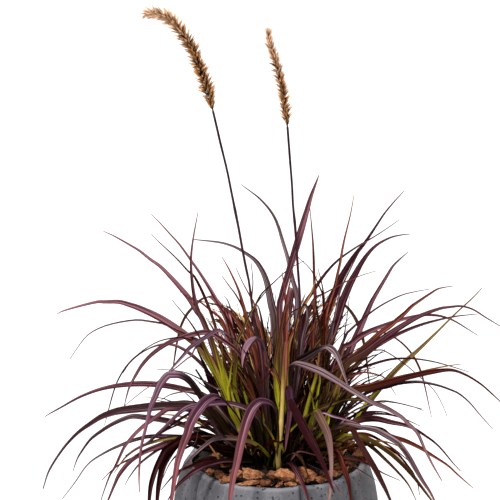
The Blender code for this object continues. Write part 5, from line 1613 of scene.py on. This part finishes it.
def grow_stand(pattern, chance, groups, count, headings, stray, reach, length, lean, droop, width, shares):
    """A stand of seeded leaves that fill the clump between the traced ones."""
    grown = 0
    for attempt in range(count * STAND_TRIES):
        heading = chance.uniform(*headings)
        inner = chance.uniform(*reach) * ROOT_RADIUS
        spot = math.radians(heading + chance.uniform(-stray, stray))
        foot = (inner * math.cos(spot) * 1000, -inner * math.sin(spot) * 1000)
        points = fanned_points(foot_points(foot), heading, chance.uniform(*length), chance.uniform(*lean),
                               chance.uniform(*droop))
        finish = chance.choices(list(shares), list(shares.values()))[0]
        green = chance.uniform(-0.35, 0.25) if finish == "olive" else chance.uniform(-0.60, -0.05)
        tone = chance.uniform(*(DULL_TONES if chance.random() < DULL_SHARE else BRIGHT_TONES))
        if finish == "straw":
            tone = min(tone, STRAW_TONE)
        look = (green, 0.5 * chance.random() ** 2, tone, chance.uniform(-35, 35))
        wide = chance.uniform(*width)
        if grown < count and has_room(points):
            blade = grow_blade("fill", pattern, points, wide, FILLER_ROLL, look)
            height = places_of(blade.data)[:, 2] - CROWN_TOP
            lit = LIT_STRENGTH if chance.random() < LIT_SHARE else 0.0
            # Painted shade on the seeded leaf's lower part, lessened on a share of them
            mark(blade.data, deep=(1 - lit) * (1 - smooth_step(*PAINTED_SHADE_HEIGHTS, height)))
            groups[finish].append(blade)
            grown += 1


def grow_slim_leaves(slim_pattern, thin_pattern):
    """Slimmer leaves that were traced, then more through the thicket and all round the back."""
    chance = random.Random(33)
    groups = {name: [] for name in LEAF_FINISHES}
    for width, finish, toward, green, pixels in SLIM_LEAVES:
        points = rooted(pixels, toward)
        tone = -0.25 if width > 8 else chance.uniform(0.0, 0.65)
        look = (green, 0.1 + 0.5 * chance.random() ** 2, tone, chance.uniform(-25, 25))
        groups[finish].append(grow_blade("slim", slim_pattern, points, width * PIXEL, BLADE_ROLL, look))
    for width, tone, toward, pixels in FOLDED_LEAVES:
        groups["violet"].append(grow_blade("folded", slim_pattern, rooted(pixels, toward), width * PIXEL,
                                           BLADE_ROLL, (0.0, 0.4, tone, 10.0), folded=True))
    for stand in STANDS:
        grow_stand(thin_pattern, chance, groups, *stand)
    for finish, blades in groups.items():
        if blades:
            piece = joined("slim_leaves_" + finish, blades)
            keep(thickened(piece, SLIM_THICKNESS), LEAF_SLOTS[finish], LEAF_MATERIALS[finish])


def grow_stems(pattern, stems, prefix, radii, bulge, slot, material):
    """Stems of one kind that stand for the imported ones."""
    for name, look, foot, toward, pixels in stems:
        route = shoot_route(foot_points(foot) + traced_route(pixels, toward), STEM_RINGS + 1)
        stem = grow_stem(prefix + name, pattern, route, radii, look, bulge, STEM_JOINTS)
        stem.data.shade_smooth()
        keep(stem, slot, material, name)


def grow_shoots():
    """The crowd of short shoots round the stems, with none in the clear place before the middle one."""
    chance = random.Random(8)
    pattern = model_tube("shoot_pattern", 7, 14)
    shoots = []
    for number in range(SHOOTS):
        angle = math.radians(number * SHOOT_TURN)
        inner = SHOOT_REACH * math.sqrt((number + 0.5) / SHOOTS)
        foot = Vector((inner * math.cos(angle), inner * math.sin(angle), CROWN_TOP - SHOOT_SINK))
        if abs(foot.x - CLEAR_MIDDLE) < CLEAR_WIDTH and foot.y < CLEAR_FRONT:
            continue
        lean = (0.10 + 0.45 * inner / CROWN_RADIUS) * chance.uniform(0.6, 1.3)
        tall = chance.uniform(*SHOOT_HEIGHTS)
        out = Vector((math.cos(angle + chance.uniform(-0.6, 0.6)), math.sin(angle), 0))
        points = [foot, foot + UP * FOOT_RISE, foot + UP * tall * 0.5 + out * tall * lean * 0.35,
                  foot + UP * tall + out * tall * lean]
        radius = chance.uniform(*SHOOT_RADII)
        shoots.append(grow_stem("shoot", pattern, smooth_route(points, 15), (radius, radius * 0.45),
                                (chance.random() ** 3, chance.random()), 0.15, 2))
    bpy.data.objects.remove(pattern)
    piece = joined("sheathed_shoots", shoots)
    piece.data.shade_smooth()
    return piece


set_stage()

# Leaf and stem materials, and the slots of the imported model
LEAF_MATERIALS = {name: leaf_finish(name) for name in LEAF_FINISHES}
LEAF_SLOTS = {name: {"straw": "crown_straw", "dusty": "leaf_grey"}.get(name, "leaf_" + name)
              for name in LEAF_FINISHES}
NODE_SLOTS = {part["node"]: part["material_slot"] for part in frame["record"]["subparts"]}
CULM_MATERIAL = stem_finish("culm_sheath", (0.620, 0.420, 0.120), (0.250, 0.215, 0.012),
                            (0.150, 0.060, 0.022), 0.42)
STALK_MATERIAL = stem_finish("flower_stalk", (0.045, 0.012, 0.013), (0.036, 0.0060, 0.0130),
                             (0.018, 0.003, 0.007), 0.55)
# The shoots' sheaths: partly their own dark colour, partly painted shade in the clump's core
SHOOT_MATERIAL = stem_finish("shoot_sheath_with_painted_shade", (0.016, 0.007, 0.002), (0.060, 0.040, 0.005),
                             (0.006, 0.002, 0.001), 0.5)

# Planter, soil, crown and mulch
keep(model_planter(), "concrete", concrete_finish(), "planter")
soil = frame["nodes"]["potting_soil"].data.materials
soil.clear()
soil.append(crumb_finish("potting_mix", (0.010, 0.007, 0.005), (0.050, 0.030, 0.020)))
# The crown's fibre: partly its own dark colour, partly painted shade under the clump
keep(model_crown(), "crown_straw", crumb_finish("crown_fibre_with_painted_shade", (0.005, 0.003, 0.002), (0.030, 0.016, 0.009)),
     "crown")
# The bed's fine bark: partly its own dark colour, partly painted shade under the clump
keep(model_mulch_bed(), "bark", crumb_finish("bark_fines_with_painted_shade", (0.002, 0.001, 0.0005), (0.010, 0.003, 0.001)),
     "bark_mulch")
keep(strew_chips(), "bark", bark_finish())

# Leaves, stems and spikes
fine_blade = model_blade("blade_pattern", 57, BROAD_SECTION)
slim_blade = model_blade("slim_blade_pattern", 41, BROAD_SECTION)
thin_blade = model_blade("thin_blade_pattern", 22, THIN_SECTION)
stem_pattern = model_tube("stem_pattern", 10, STEM_RINGS)
grow_leaves(fine_blade)
grow_slim_leaves(slim_blade, thin_blade)
grow_stems(stem_pattern, CULMS, "sheathed_", CULM_RADII, CULM_BULGE, "culm_green", CULM_MATERIAL)
grow_stems(stem_pattern, STALKS, "dark_", STALK_RADII, STALK_BULGE, "stalk_brown", STALK_MATERIAL)
keep(grow_shoots(), "culm_green", SHOOT_MATERIAL)
spikelet = model_spikelet()
spike_material = spike_finish()
for name, *shape in SPIKES:
    keep(grow_spike(name, spikelet, stem_pattern, *shape), "spike_tan", spike_material, name)
for pattern in (fine_blade, slim_blade, thin_blade, stem_pattern, spikelet):
    bpy.data.objects.remove(pattern)
